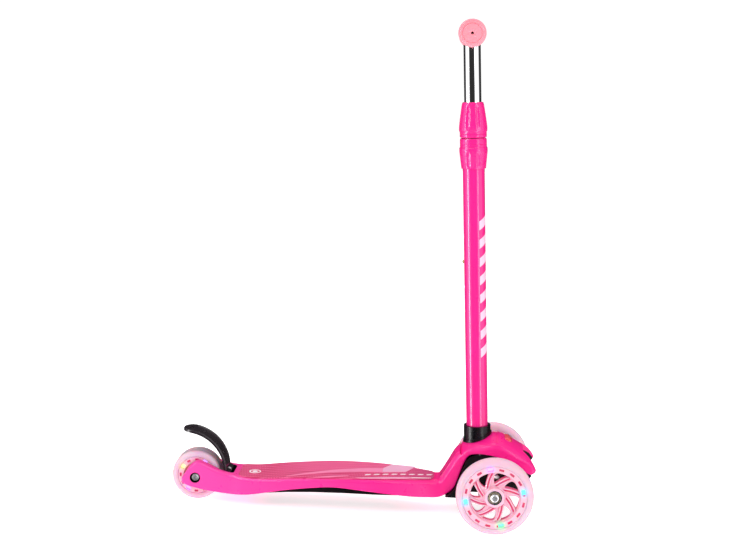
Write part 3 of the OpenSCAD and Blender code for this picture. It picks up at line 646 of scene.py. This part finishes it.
def turned_inside(m):
    """What is hollowed out of the front cover, as a dome and the saddle that the wheels turn under."""
    axis_z = 68
    saddle = [(0, -56), (38, -56), (47.5, -50), (52, -42), (57.5, -27), (61.8, -12), (63, -2), (62.4, 4),
              (0, 4)]
    seat = build("seat", *turned_x(saddle, axis_z), [m["deck"]], None)
    room = build("room", *block((-55, -33, 100), (3.5, 33, 140)), [m["deck"]], None)
    cut(room, [taken_away(seat) + (None,)])
    hollow = [(0, -41), (46, -41), (53, -27), (58, -4), (57, 9), (48, 26), (40, 41), (0, 48)]
    inner = build("inner", *turned_x(hollow, axis_z), [m["deck"]], None)
    cut(inner, [block((-41, -34, 48), (49, 34, 128)) + (None,)], "INTERSECT")
    return taken_away(room), taken_away(inner)


def notch_wall(m):
    """The lower part of the gap between the horns, where the black housing shows below a thin pink edge."""
    notch = build("notch", *prism([(44.6, -22), (44.6, 22), (72, 46.5), (72, -46.5)], 60, 130), [m["black"]],
                  None)
    below = rings([[(x, y, z) for x, z in ((42, 60), (75, 60), (75, 68), (66.5, 79), (57, 92), (42, 102))]
                   for y in (-50, 50)], caps=True)
    cut(notch, [below + (None,)], "INTERSECT")
    return taken_away(notch)


def deck(m):
    """The deck moulding, from the rear arms to the front cover's horns."""
    steps = 6
    sections = [deck_section(station(i / steps)) for i in range((len(STATIONS) - 1) * steps + 1)]
    points, faces = rings(sections, caps=True)
    piece = build("deck_shell", *moved((points, faces), AXLE), [m["deck"], m["black"]], "chassis",
                  ["deck_body"], "pink_plastic", angle=38)
    hub = middle("rear_tyre")
    rear = Vector((hub.x - FRONT_X, 0, hub.z))
    room, inner = turned_inside(m)
    brake_pocket = rounded([(-446, -22.5), (-419, -22.5), (-419, 22.5), (-446, 22.5)], 6)
    dark = m["black"]
    shapes = [
        (across(43.5, rear.x, rear.z, -18.3, 18.3, 96), None),
        (across(4, rear.x, rear.z, -60, 60), None),
        # Painted shade: the recesses round both ends of the rear axle are coloured black
        (across(8.5, rear.x, rear.z, -60, -27), dark),
        (across(8.5, rear.x, rear.z, 27, 60), dark),
        # Painted shade: the brake pocket's walls are coloured black
        (prism(brake_pocket, 36, 80), dark),
        (rib_pockets(), None),
        (room, None),
        (prism(circle(19.4, 64, -29, 0), 90, 150), None),
        (inner, None),
        (block((-36, -34, 80), (36, 34, 104)), None),
        (moved(prism(oval(6.85, 9.5), -20, 20), BUTTON), None),
        (prism([(45, -22), (45, 22), (72, 46), (72, -46)], 60, 130), None),
        (notch_wall(m), dark)]
    cut(piece, [moved(shape, AXLE) + (mat,) for shape, mat in shapes])
    smooth(piece, 38)


def oval(r, half, count=24):
    """Outline of two half circles along Y, joined by straight sides."""
    return arc((0, half), r, 0, 180, count) + arc((0, -half), r, 180, 360, count)


# ---- Grip mat ----

RIB_PITCH = 4.2
RIB_LEAN = 0.55
RIB_HEIGHT = 0.45
ROW_PITCH = 5.4
EDGE_ROUND = 1.6


def mat_pad(m):
    """The mat: a dense sheet over the deck with slanted ribs pressed into it."""
    across_n, along_n = 130, 460
    sections = []
    t0, t1 = MAT_ROWS
    for i in range(along_n + 1):
        t = t0 + (t1 - t0) * i / along_n
        x, z, _, _, w = station(t)[:5]
        end = min(i, along_n - i) / along_n
        inset = 7 + 9 * max(0, 1 - end / 0.03) ** 2
        ring = []
        for j in range(across_n + 1):
            v = 2 * j / across_n - 1
            y = v * (w - inset)
            rim = min(1.0, (1 - abs(v)) * (w - inset) / EDGE_ROUND)
            ring.append((x, y, z + MAT_T * rim ** 0.5 + RIB_HEIGHT * relief(x, y) * rim))
        sections.append(ring + [(x, p[1], z + 0.02) for p in (ring[-1], ring[0])])
    points, faces = rings(sections, caps=True)
    piece = build("grip_pad", *moved((points, faces), AXLE), [m["mat"]], "chassis", ["grip_mat"], "mat",
                  angle=60)
    pressed = piece.data.attributes.new("pressed", "FLOAT", "POINT")
    for vertex, value in zip(piece.data.vertices, pressed.data):
        value.value = relief(vertex.co.x / MM - FRONT_X, vertex.co.y / MM)


def relief(x, y):
    """Height of the pressed pattern, from 0 to 1: slanted bars in rows, longest on the left of the front
    half."""
    lean = (x + y * RIB_LEAN) / RIB_PITCH
    bar = max(0.0, math.cos(2 * math.pi * lean)) ** 0.7
    far = min(1.0, max(0.0, (y + 28 - (x + 330) * 0.16 - 12) / 3)) * min(1.0, max(0.0, (x + 352) / 60))
    row = max(0.0, math.cos(math.pi * y / ROW_PITCH)) ** 1.5
    return bar * (far + (1 - far) * row)


def mat_colour(tree, place, base):
    """The mat is painted darker between its ribs as painted shade, has pale stripes along it and turns darker
    towards the neck.
    """
    split = tree.add("ShaderNodeSeparateXYZ", Vector=place).outputs
    pressed = tree.add("ShaderNodeAttribute", {"attribute_name": "pressed"}).outputs["Fac"]
    # Painted shade: low places between the ribs are mixed towards a dark red
    base = tree.mix(tree.scale(pressed, 0.0, 0.8, 0.9, 0.0), base, (0.56, 0.012, 0.10, 1))
    stripe = tree.math("SINE", tree.math("MULTIPLY", tree.math("ADD", split["Y"], tree.math(
        "MULTIPLY", split["X"], -0.16)), 620))
    base = tree.mix(tree.scale(stripe, 0.2, 1.0, 0.0, 0.4), base, (1.0, 0.22, 0.45, 1))
    return tree.mix(tree.scale(split["X"], 0.055, 0.125, 0.0, 0.8), base, (0.52, 0.055, 0.19, 1))


def panel(name, rows, mat):
    """A thin printed panel on the mat. Each row is x, then the panel's two edges y."""
    steps = 8
    sections = []
    for (xa, a0, a1), (xb, b0, b1) in zip(rows, rows[1:]):
        for k in range(steps):
            t = k / steps
            sections.append((xa + (xb - xa) * t, a0 + (b0 - a0) * t, a1 + (b1 - a1) * t))
    sections.append(rows[-1])
    solid = []
    for x, y0, y1 in sections:
        z = deck_top(x) + MAT_T
        solid.append([(x, y0, z + PRINT_T), (x, y1, z + PRINT_T), (x, y1, z - 0.2), (x, y0, z - 0.2)])
    points, faces = rings(solid, caps=True)
    build(name, *moved((points, faces), AXLE), [mat], "chassis", (), "mat")


def mat_graphics(m):
    """Generic stripes, bars and a disc printed on the mat."""
    panel("print_block", [(-178.5, -8.2, 14), (-165, -5, 38.8), (-142, 0.6, 37.2), (-126.4, 35.5, 36)],
          m["print"])
    panel("print_sweep", [(-332, -39, -38.4), (-319, -36.4, -31), (-290, -27.5, -18.9), (-262, -20.5, -7.7),
                          (-214, -12.4, 7.2), (-178.6, -8.2, 13.9)], m["sweep"])
    panel("print_wedge", [(-287, -48.5, -48), (-262, -48.5, -41), (-245, -43, -37.8), (-231, -36.6, -36)],
          m["sweep"])
    panel("print_edge", [(-219, -47.2, -46.8), (-208, -47.5, -44.8), (-175, -43, -37.1), (-150, -36.8, -31.1),
                         (-137, -33.3, -28), (-131, -29.5, -26.7)], m["print"])
    panel("print_edge_front", [(-131, -29.5, -26.7), (-112, -24.5, -22.2), (-100, -20.6, -19.4)],
          m["white_print"])
    for i in range(8):
        x = -206 + 14 * i
        y = -29.5 + 3.46 * i
        panel("print_bar_%d" % i, [(x, y, y + 0.4), (x + 2.2, y, y + 4.4), (x + 7.5, y + 1.3, y + 5.4),
                                   (x + 10, y + 5.2, y + 5.6)], m["white_print"])
    parts = []
    for r0, r1 in ((7.6, 9.6), (0.5, 4.2)):
        profile = [(r0, -0.2), (r1, -0.2), (r1, PRINT_T), (r0, PRINT_T)]
        parts.append(moved(spin(profile, 48), Matrix.Translation((-386, -6, deck_top(-386) + MAT_T))))
    build("print_disc", *moved(joined(parts), AXLE), [m["white_print"]], "chassis", (), "mat")


# ---- Column ----

def clamp_half(name, node, body, profile, l0, l1, depth, m):
    """One half of the twist clamp, with eight broad soft flutes. Heights are from the split between the
    halves; the flutes fade out at l0 and l1."""
    bore = 17.3

    def fluted(r, z, a):
        if r < bore:
            return r
        share = max(0.0, min(1.0, (z - l0) / 3, (l1 - z) / 4))
        return r - depth * share * max(0.0, math.cos(8 * (a - math.pi / 8))) ** 1.5

    build(name, *moved(spin(profile, 256, fluted), CLAMP), [m["clamp"]], body, [node], "pink_plastic",
          angle=30)


def clamp(m):
    lower = [(17.2, -48), (18.7, -48), (19.3, -47.4)]
    lower += [(19.5 + 2.6 * i / 12, -45 + 24 * i / 12) for i in range(13)]
    lower += [(22.1, -16.6), (21.8, -15.4), (21.1, -14.6), (21, -14), (21, -10.6), (20.55, -10.1), (21, -9.6),
              (21, -3.4), (20.6, -2), (19.8, -0.6), (14.3, -0.6), (14.3, -9), (17.2, -9)]
    clamp_half("clamp_lower", "clamp_base", "steering_head", lower, -46, -21, 1.0, m)
    upper = [(17.6, 0.5), (20.0, 0.5), (20.8, 1.2), (21, 2), (21, 5), (20.55, 5.5), (21, 6), (21, 9),
             (21.3, 9.8), (21.9, 10.6), (22.1, 11.6)]
    upper += [(22.1 - 4.6 * (i / 12) ** 1.15, 16 + 34 * i / 12) for i in range(13)]
    upper += [(16.8, 53), (16.2, 54.4), (15.4, 55), (13.8, 55), (13.8, 45), (15.2, 42)]
    clamp_half("clamp_upper", "clamp_nut", "clamp_ring", upper, 15, 50, 1.1, m)


def grip(name, node, side, m):
    """A grip: flange, fine ribs under the palm, and an end disc with a ring and a hole."""
    e = BAR_END
    profile = [(11.0, 50), (17, 50), (17.6, 50.2)]
    profile += arc((18.0, 52.5), 2.1, -80, 80, 8)
    profile += [(17.4, 55.4), (16.2, 56.6)]
    body = []
    for i in range(33):
        z = 58 + (e - 12 - 58) * i / 32
        swell = 0.9 * math.sin(math.pi * i / 32) ** 2
        body += [(15.4 + swell, z - 0.8), (15.9 + swell, z - 0.3), (15.9 + swell, z + 0.3),
                 (15.4 + swell, z + 0.8)]
    profile += body
    profile += [(16.4, e - 9.6)] + arc((17.2, e - 4.6), 3.3, -80, 80, 10)
    profile += [(16.2, e - 0.6), (14.9, e - 0.5), (14.4, e - 1.3), (13.9, e - 1.3), (13.4, e - 0.5),
                (8, e - 0.2), (3.2, e - 0.3), (2.4, e - 0.6), (2.1, e - 1.2), (2.0, e - 6), (11.0, e - 6)]
    turn_y = Matrix.Rotation(-math.pi / 2, 4, "X")
    flip = Matrix.Scale(side, 4, Vector((0, 1, 0)))
    place = COLUMN @ Matrix.Translation((0, 0, BAR_L)) @ flip @ turn_y
    build(name, *moved(spin(profile, 96), place), [m["rubber"]], "handlebar", [node], "grip_rubber", angle=50)


def tube_bars(m):
    """Plain slanted bars printed up the side of the lower tube."""
    r = 17.2
    top, foot = r + 0.12, r - 0.2
    for i in range(8):
        l0 = 136 + 29 * i
        sections = []
        for k in range(13):
            a = math.radians(-64 + 52 * k / 12)
            slant = 9 * k / 12
            sections.append([(q * math.cos(a), q * math.sin(a), z) for q, z in (
                (top, l0 + slant), (top, l0 + 14 + slant), (foot, l0 + 14 + slant), (foot, l0 + slant))])
        build("tube_bar_%d" % i, *moved(rings(sections, caps=True), COLUMN), [m["tube_print"]],
              "steering_head", (), "pink_paint")


# ---- Wheels ----

def wheel_place(node):
    """A wheel's own frame: Z outwards along the axle, X forward, Y up. Mirrored for the left wheel."""
    centre = middle(node)
    place = Matrix.Translation(centre)
    if centre.y > 1:
        place = place @ Matrix.Scale(-1, 4, Vector((0, 1, 0)))
    return place @ Matrix.Rotation(math.pi / 2, 4, "X")


def wheel_of(body):
    """left, right or rear, from the name of the wheel's body."""
    return body.split("_")[0]


def tyre(name, node, body, r_in, r_out, w, shoulder, m):
    """A tyre with round shoulders and two fine grooves on each side of its tread."""
    h = w / 2
    profile = [(r_in, 1.5 - h), (r_in, h - 1.5), (r_in + 0.4, h - 0.5), (r_in + 1.2, h)]
    edge = arc((r_out - shoulder, h - shoulder), shoulder, 90, 0, 12)
    tread = []
    for share in (0.62, 0.3):
        y = (h - shoulder) * share
        tread += [(r_out, y + 0.5), (r_out - 0.35, y), (r_out, y - 0.5)]
    upper = edge + tread
    profile += upper + [(r, -z) for r, z in reversed(upper)] + [(r_in + 1.2, -h), (r_in + 0.4, 0.5 - h)]
    build(name, *moved(spin(profile, 160), wheel_place(node)), [m["tyre_" + wheel_of(body)]], body, [node],
          "wheel_tyre", angle=60)


def core_body(r_hub, r_rim, r_out, w, web):
    """Profile of a wheel core: hub, web and rim with soft corners."""
    h, t = w / 2, web / 2
    side = [(6.6, h - 7.2), (11.05, h - 7.2), (11.05, h - 0.4), (11.4, h), (r_hub, h), (r_hub + 0.8, h - 0.5),
            (r_hub + 1.6, t + 1.5), (r_hub + 3, t + 0.2), (r_hub + 4, t), (r_rim - 2.4, t),
            (r_rim - 1.0, t + 0.4), (r_rim - 0.2, t + 1.6), (r_rim, h - 0.8), (r_rim + 0.6, h),
            (r_out - 0.8, h), (r_out, h - 0.8)]
    return side + [(r, -z) for r, z in reversed(side)]


def core_windows(r, half_length, angles, z0, z1):
    """Small sunk windows round the rim, on both faces of a wheel core."""
    low, high = r
    outline = rounded([(low, -half_length), (high, -half_length), (high, half_length), (low, half_length)],
                      0.8, 3)
    parts = []
    for a in angles:
        for bottom, top in ((z0, z1), (-z1, -z0)):
            parts.append(moved(prism(outline, bottom, top), Matrix.Rotation(a, 4, "Z")))
    return joined(parts)


def front_core(name, node, body, m):
    """A front wheel's core, open between eight swept spokes."""
    place = wheel_place(node)
    wheel = wheel_of(body)
    pale = m["core_" + wheel]
    piece = build(name, *moved(spin(core_body(14.2, 40, 49.5, 23, 9), 160), place),
                  [pale, m["magenta"], m["core_wall"]], body, [node], "wheel_core", angle=35)
    outline = [polar(38, a) for a in (0, 6, 12, 18, 25)]
    outline += [polar(35.5, 31), polar(30, 34), polar(23.5, 35), polar(20.5, 31), polar(26, 18)]
    outline = rounded(outline, 3.2, 4)
    openings = [moved(prism(outline, -20, 20), Matrix.Rotation(math.radians(45 * i + 16), 4, "Z"))
                for i in range(8)]
    # The sunk windows' walls and floors take the deep pink of painted shade
    windows = core_windows((43.2, 46.8), 4, [math.radians(22.5 * i + 11.5) for i in range(16)], 9.5, 14)
    cutters = [(joined(openings), m["core_wall"]),
               (lamp_pockets(45, (5.9, 8.9), [a for a, _, _ in LAMPS[wheel][2]]), pale),
               (windows, m["magenta"])]
    cut(piece, [moved(shape, place) + (mat,) for shape, mat in cutters])
    smooth(piece, 35)
    spoke_ridges(name.replace("core", "spokes"), body, place, m)


def lamp_pockets(r, size, angles):
    """Openings right through a wheel core for its lamps."""
    parts = []
    lx, ly = size[0] / 2, size[1] / 2
    for a in angles:
        shape = prism(rounded([(-lx, -ly), (lx, -ly), (lx, ly), (-lx, ly)], 1, 3), -20, 20)
        parts.append(moved(shape, Matrix.Rotation(math.radians(a), 4, "Z") @ Matrix.Translation((r, 0, 0))))
    return joined(parts)


def spoke_ridges(name, body, place, m):
    """Two raised ribs on each spoke with a groove between them, coloured deep pink as painted shade, on both
    faces.
    """
    ribs, grooves = [], []
    # Place across the spoke, width, foot and top above the wheel's mid-plane, and where the strip goes
    strips = ((-2.3, 1.7, 4.0, 7.4, ribs), (2.3, 1.7, 4.0, 7.4, ribs), (0.0, 3.0, 4.0, 4.8, grooves))
    for i in range(8):
        inner, outer = Vector(polar(16.4, 45 * i + 2)), Vector(polar(39.6, 45 * i - 38.5))
        along = (outer - inner).normalized()
        side = Vector((-along.y, along.x))
        for z in (1, -1):
            for offset, width, low, high, store in strips:
                sections = []
                for k in range(13):
                    t = k / 12
                    p = inner + (outer - inner) * t + side * (offset + 1.6 * math.sin(math.pi * t))
                    end = 0.12 + t * 0.9 if t < 0.5 else 1.02 - t
                    top = low + (high - low) * min(1, math.sin(math.pi * min(0.5, end)) + 0.3)
                    soft = min(0.5, width * 0.3)
                    ring = [(-width / 2, low - 1), (-width / 2, top - soft), (soft - width / 2, top),
                            (width / 2 - soft, top), (width / 2, top - soft), (width / 2, low - 1)]
                    sections.append([(p.x + side.x * q, p.y + side.y * q, z * h) for q, h in ring])
                store.append(rings(sections, caps=True))
    pale = m["core_" + wheel_of(body)]
    build(name, *moved(joined(ribs), place), [pale], body, (), "wheel_core", angle=50)
    # The groove strips take the deep pink of painted shade
    build(name + "_grooves", *moved(joined(grooves), place), [m["magenta"]], body, (), "wheel_core", angle=50)


def rear_core(m):
    """The rear wheel's solid core, with windows and lamps in its rim."""
    place = wheel_place("rear_core")
    piece = build("rear_wheel_core", *moved(spin(core_body(14.2, 21, 30, 33, 12), 128), place),
                  [m["core_rear"], m["magenta"]], "rear_wheel", ["rear_core"], "wheel_core", angle=35)
    # The sunk windows' walls and floors take the deep pink of painted shade
    windows = core_windows((24.4, 27.8), 3, [math.radians(30 * i) for i in range(12)], 14.5, 20)
    pockets = lamp_pockets(26, (5.4, 7.4), [a for a, _, _ in LAMPS["rear"][2]])
    cut(piece, [moved(windows, place) + (m["magenta"],), moved(pockets, place) + (m["core_rear"],)])
    smooth(piece, 35)


def bearings(name, node, body, w, m):
    """Two ball bearings: outer race, shield with a rolled rim, inner race."""
    parts, kinds = [], []
    profile = [(4.05, -3.4), (4.3, -3.5), (5.9, -3.5), (6.1, -3.1), (6.3, -3.1), (9.0, -3.1), (9.2, -3.2),
               (9.4, -3.5), (10.7, -3.5), (11, -3.2)]
    profile += [(r, -z) for r, z in reversed(profile)]
    n = len(profile)
    shield = (4, 5, n - 7, n - 6)
    for s in (-1, 1):
        part = spin(profile, 96)
        parts.append(moved(part, Matrix.Translation((0, 0, s * (w / 2 - 4)))))
        kinds += [1 if i % n in shield else 0 for i in range(len(part[1]))]
    build(name, *moved(joined(parts), wheel_place(node)), [m["race"], m["shield"]], body, [node], "bearing",
          angle=35, face_material=kinds)


def lamps(name, body, size, m):
    """Light-up inserts: a lens block with a small dome at each end."""
    node, r, spots = LAMPS[wheel_of(body)]
    place = wheel_place(node)
    parts, kinds = [], []
    lx, ly, lz = (q / 2 for q in size)
    for index, (a, _, _) in enumerate(spots):
        shape = prism(rounded([(-lx, -ly), (lx, -ly), (lx, ly), (-lx, ly)], 1, 3), -lz, lz)
        dome = [(0.01, -2.1 - lz)] + [(2.1 * math.cos(math.radians(b)), -lz - 2.1 * math.sin(math.radians(b)))
                                      for b in (75, 60, 45, 30, 15, 0)]
        dome += [(q, -z) for q, z in reversed(dome)]
        whole = joined([shape, spin(dome, 24)])
        parts.append(moved(whole, Matrix.Rotation(math.radians(a), 4, "Z") @ Matrix.Translation((r, 0, 0))))
        kinds += [index] * len(whole[1])
    build(name, *moved(joined(parts), place), [m["lamp_" + c] for _, c, _ in spots], body, [node], "light",
          angle=45, face_material=kinds)


def wheels(m):
    for side in ("left", "right"):
        body = side + "_wheel"
        tyre("tyre_" + side, "front_tyre_" + side, body, 49.5, 60, 24, 9, m)
        front_core("core_" + side, "front_core_" + side, body, m)
        bearings("bearings_" + side, "front_bearings_" + side, body, 24, m)
        lamps("lamps_" + side, body, (5.4, 8.4, 14), m)
    tyre("tyre_rear", "rear_tyre", "rear_wheel", 30, 40, 34, 6.5, m)
    rear_core(m)
    bearings("bearings_rear", "rear_bearings", "rear_wheel", 34, m)
    lamps("lamps_rear", "rear_wheel", (4.8, 6.8, 20), m)


# ---- Brake lever ----

def brake_lever(m):
    """Curved blade: raised border, sunken middle with ladder ribs, an oval hole and a rounded tip."""
    cx, cz, r_out, thick, half = -498.5, 48, 68, 4.5, 21
    along_n, across_n = 150, 56
    a1 = 95.5  # the blade's arc, in degrees
    reach = 21.0 / r_out  # angle over which the tip is rounded

    def width(a):
        left = math.radians(a1 - a) / reach
        return half * math.sqrt(max(0.0, 1 - (1 - left) ** 2)) if left < 1 else half

    def height(a, y, w):
        edge = min(w - abs(y), math.radians(a1 - a) * r_out * 0.9)
        border = 1 if edge > 5.5 else 0 if edge < 4 else (edge - 4) / 1.5
        sunk = 1.7 * border * min(1, max(0, (a - 16) / 2), max(0, (80 - a) / 2))
        inner = 1 if edge > 8.5 else 0 if edge < 7.5 else edge - 7.5
        if 26 < a < 70:
            sunk += inner * 1.3 * (0.5 - 0.5 * math.cos(2 * math.pi * (a - 26) / 4.4)) ** 0.7
        round_off = 1.2 * max(0.0, 1 - edge / 1.2) ** 2
        return r_out - sunk - round_off

    sections = []
    for i in range(along_n + 1):
        a = a1 * i / along_n
        w = max(0.3, width(a))
        ring, back = [], []
        for j in range(across_n + 1):
            y = w * math.sin(math.pi / 2 * (2 * j / across_n - 1))
            q = height(a, y, w)
            ring.append((cx + q * math.cos(math.radians(a)), y, cz + q * math.sin(math.radians(a))))
            p = r_out - thick
            back.append((cx + p * math.cos(math.radians(a)), y, cz + p * math.sin(math.radians(a))))
        sections.append(ring + back[::-1])
    points, faces = rings(sections, caps=True)
    piece = build("brake_blade", *moved((points, faces), AXLE), [m["brake"]], "brake", ["brake_lever"],
                  "brake_plastic", angle=50)
    pin = Vector((-430.5, 0, 46))
    foot = across(6, pin.x, pin.z, -21, 21)
    cut(piece, [moved(foot, AXLE) + (None,)], "UNION")
    hole = moved(prism(oval(3, 3.4), 90, 130), Matrix.Translation((-491, 0, 0)))
    notch = block((-450, -6.5, 30), (-420, 6.5, 53))
    bore = across(2.55, pin.x, pin.z, -60, 60)
    dot = prism(circle(1.6, 24, 0, 0), -10, 10)
    dot = moved(dot, Matrix.Translation((cx, 0, cz)) @ Matrix.Rotation(math.radians(90 - 18), 4, "Y")
                @ Matrix.Translation((0, 0, 66)))
    cut(piece, [moved(s, AXLE) + (None,) for s in (hole, notch, bore, dot)])
    smooth(piece, 40)


def release_button(m):
    """Oval dome of the release button."""
    steps = ((0, -8), (0, 0.1), (0.25, 0.5), (1.0, 0.7), (1.3, 0.6), (1.6, 0.9), (2.6, 1.6), (4.0, 2.15),
             (5.2, 2.38))
    sections = [[(x, y, z) for x, y in oval(6.5 - inset, 9.5)] for inset, z in steps]
    build("release_cap", *moved(rings(sections, caps=True), AXLE @ BUTTON), [m["button"]], "front_button",
          ["release_button"], "button_red", angle=50)


# ---- CAD nodes that keep their shape ----

KEPT = {
    "black": ["underdeck_brace", "front_housing", "steering_yoke", "clamp_collet", "tube_bush", "bar_plugs",
              "knuckle_left", "knuckle_right"],
    "collar": ["collar"],
    "race": ["brace_screws", "housing_screws"],
    "steel": ["lean_pivot_bolt", "lean_pivot_nut", "kingpin_bolts", "kingpin_nuts", "centring_springs",
              "rear_axle_bolt", "rear_axle_nut", "rear_spacers", "brake_pin", "brake_spring", "button_spring",
              "socket_pin", "snap_spring", "tie_rod", "front_axle_bolt_left", "front_axle_bolt_right",
              "front_spacer_left", "front_spacer_right"],
    "paint": ["lower_tube"],
    "chrome": ["t_bar"],
    "brass": ["snap_button"],
}


def dress_cad(m):
    """Gives each kept node its material."""
    for key, names in KEPT.items():
        for name in names:
            node = frame["nodes"][name]
            for s in node.material_slots:
                s.material = m[key]
            if not node.material_slots:
                node.data.materials.append(m[key])
            smooth(node, 35)


set_camera()
set_studio()
materials = make_materials()
materials["mat"] = surface("mat_rubber", (1.0, 0.15, 0.38), 0.5, vary=0.05, grain=1500, grain_depth=0.00006,
                           tint=mat_colour, shade_and_dust=(0.55, 0.1, 0.25), shade_and_dust_amount=0.3)
dress_cad(materials)
deck(materials)
mat_pad(materials)
mat_graphics(materials)
clamp(materials)
tube_bars(materials)
grip("grip_cover_left", "grip_left", 1, materials)
grip("grip_cover_right", "grip_right", -1, materials)
wheels(materials)
brake_lever(materials)
release_button(materials)
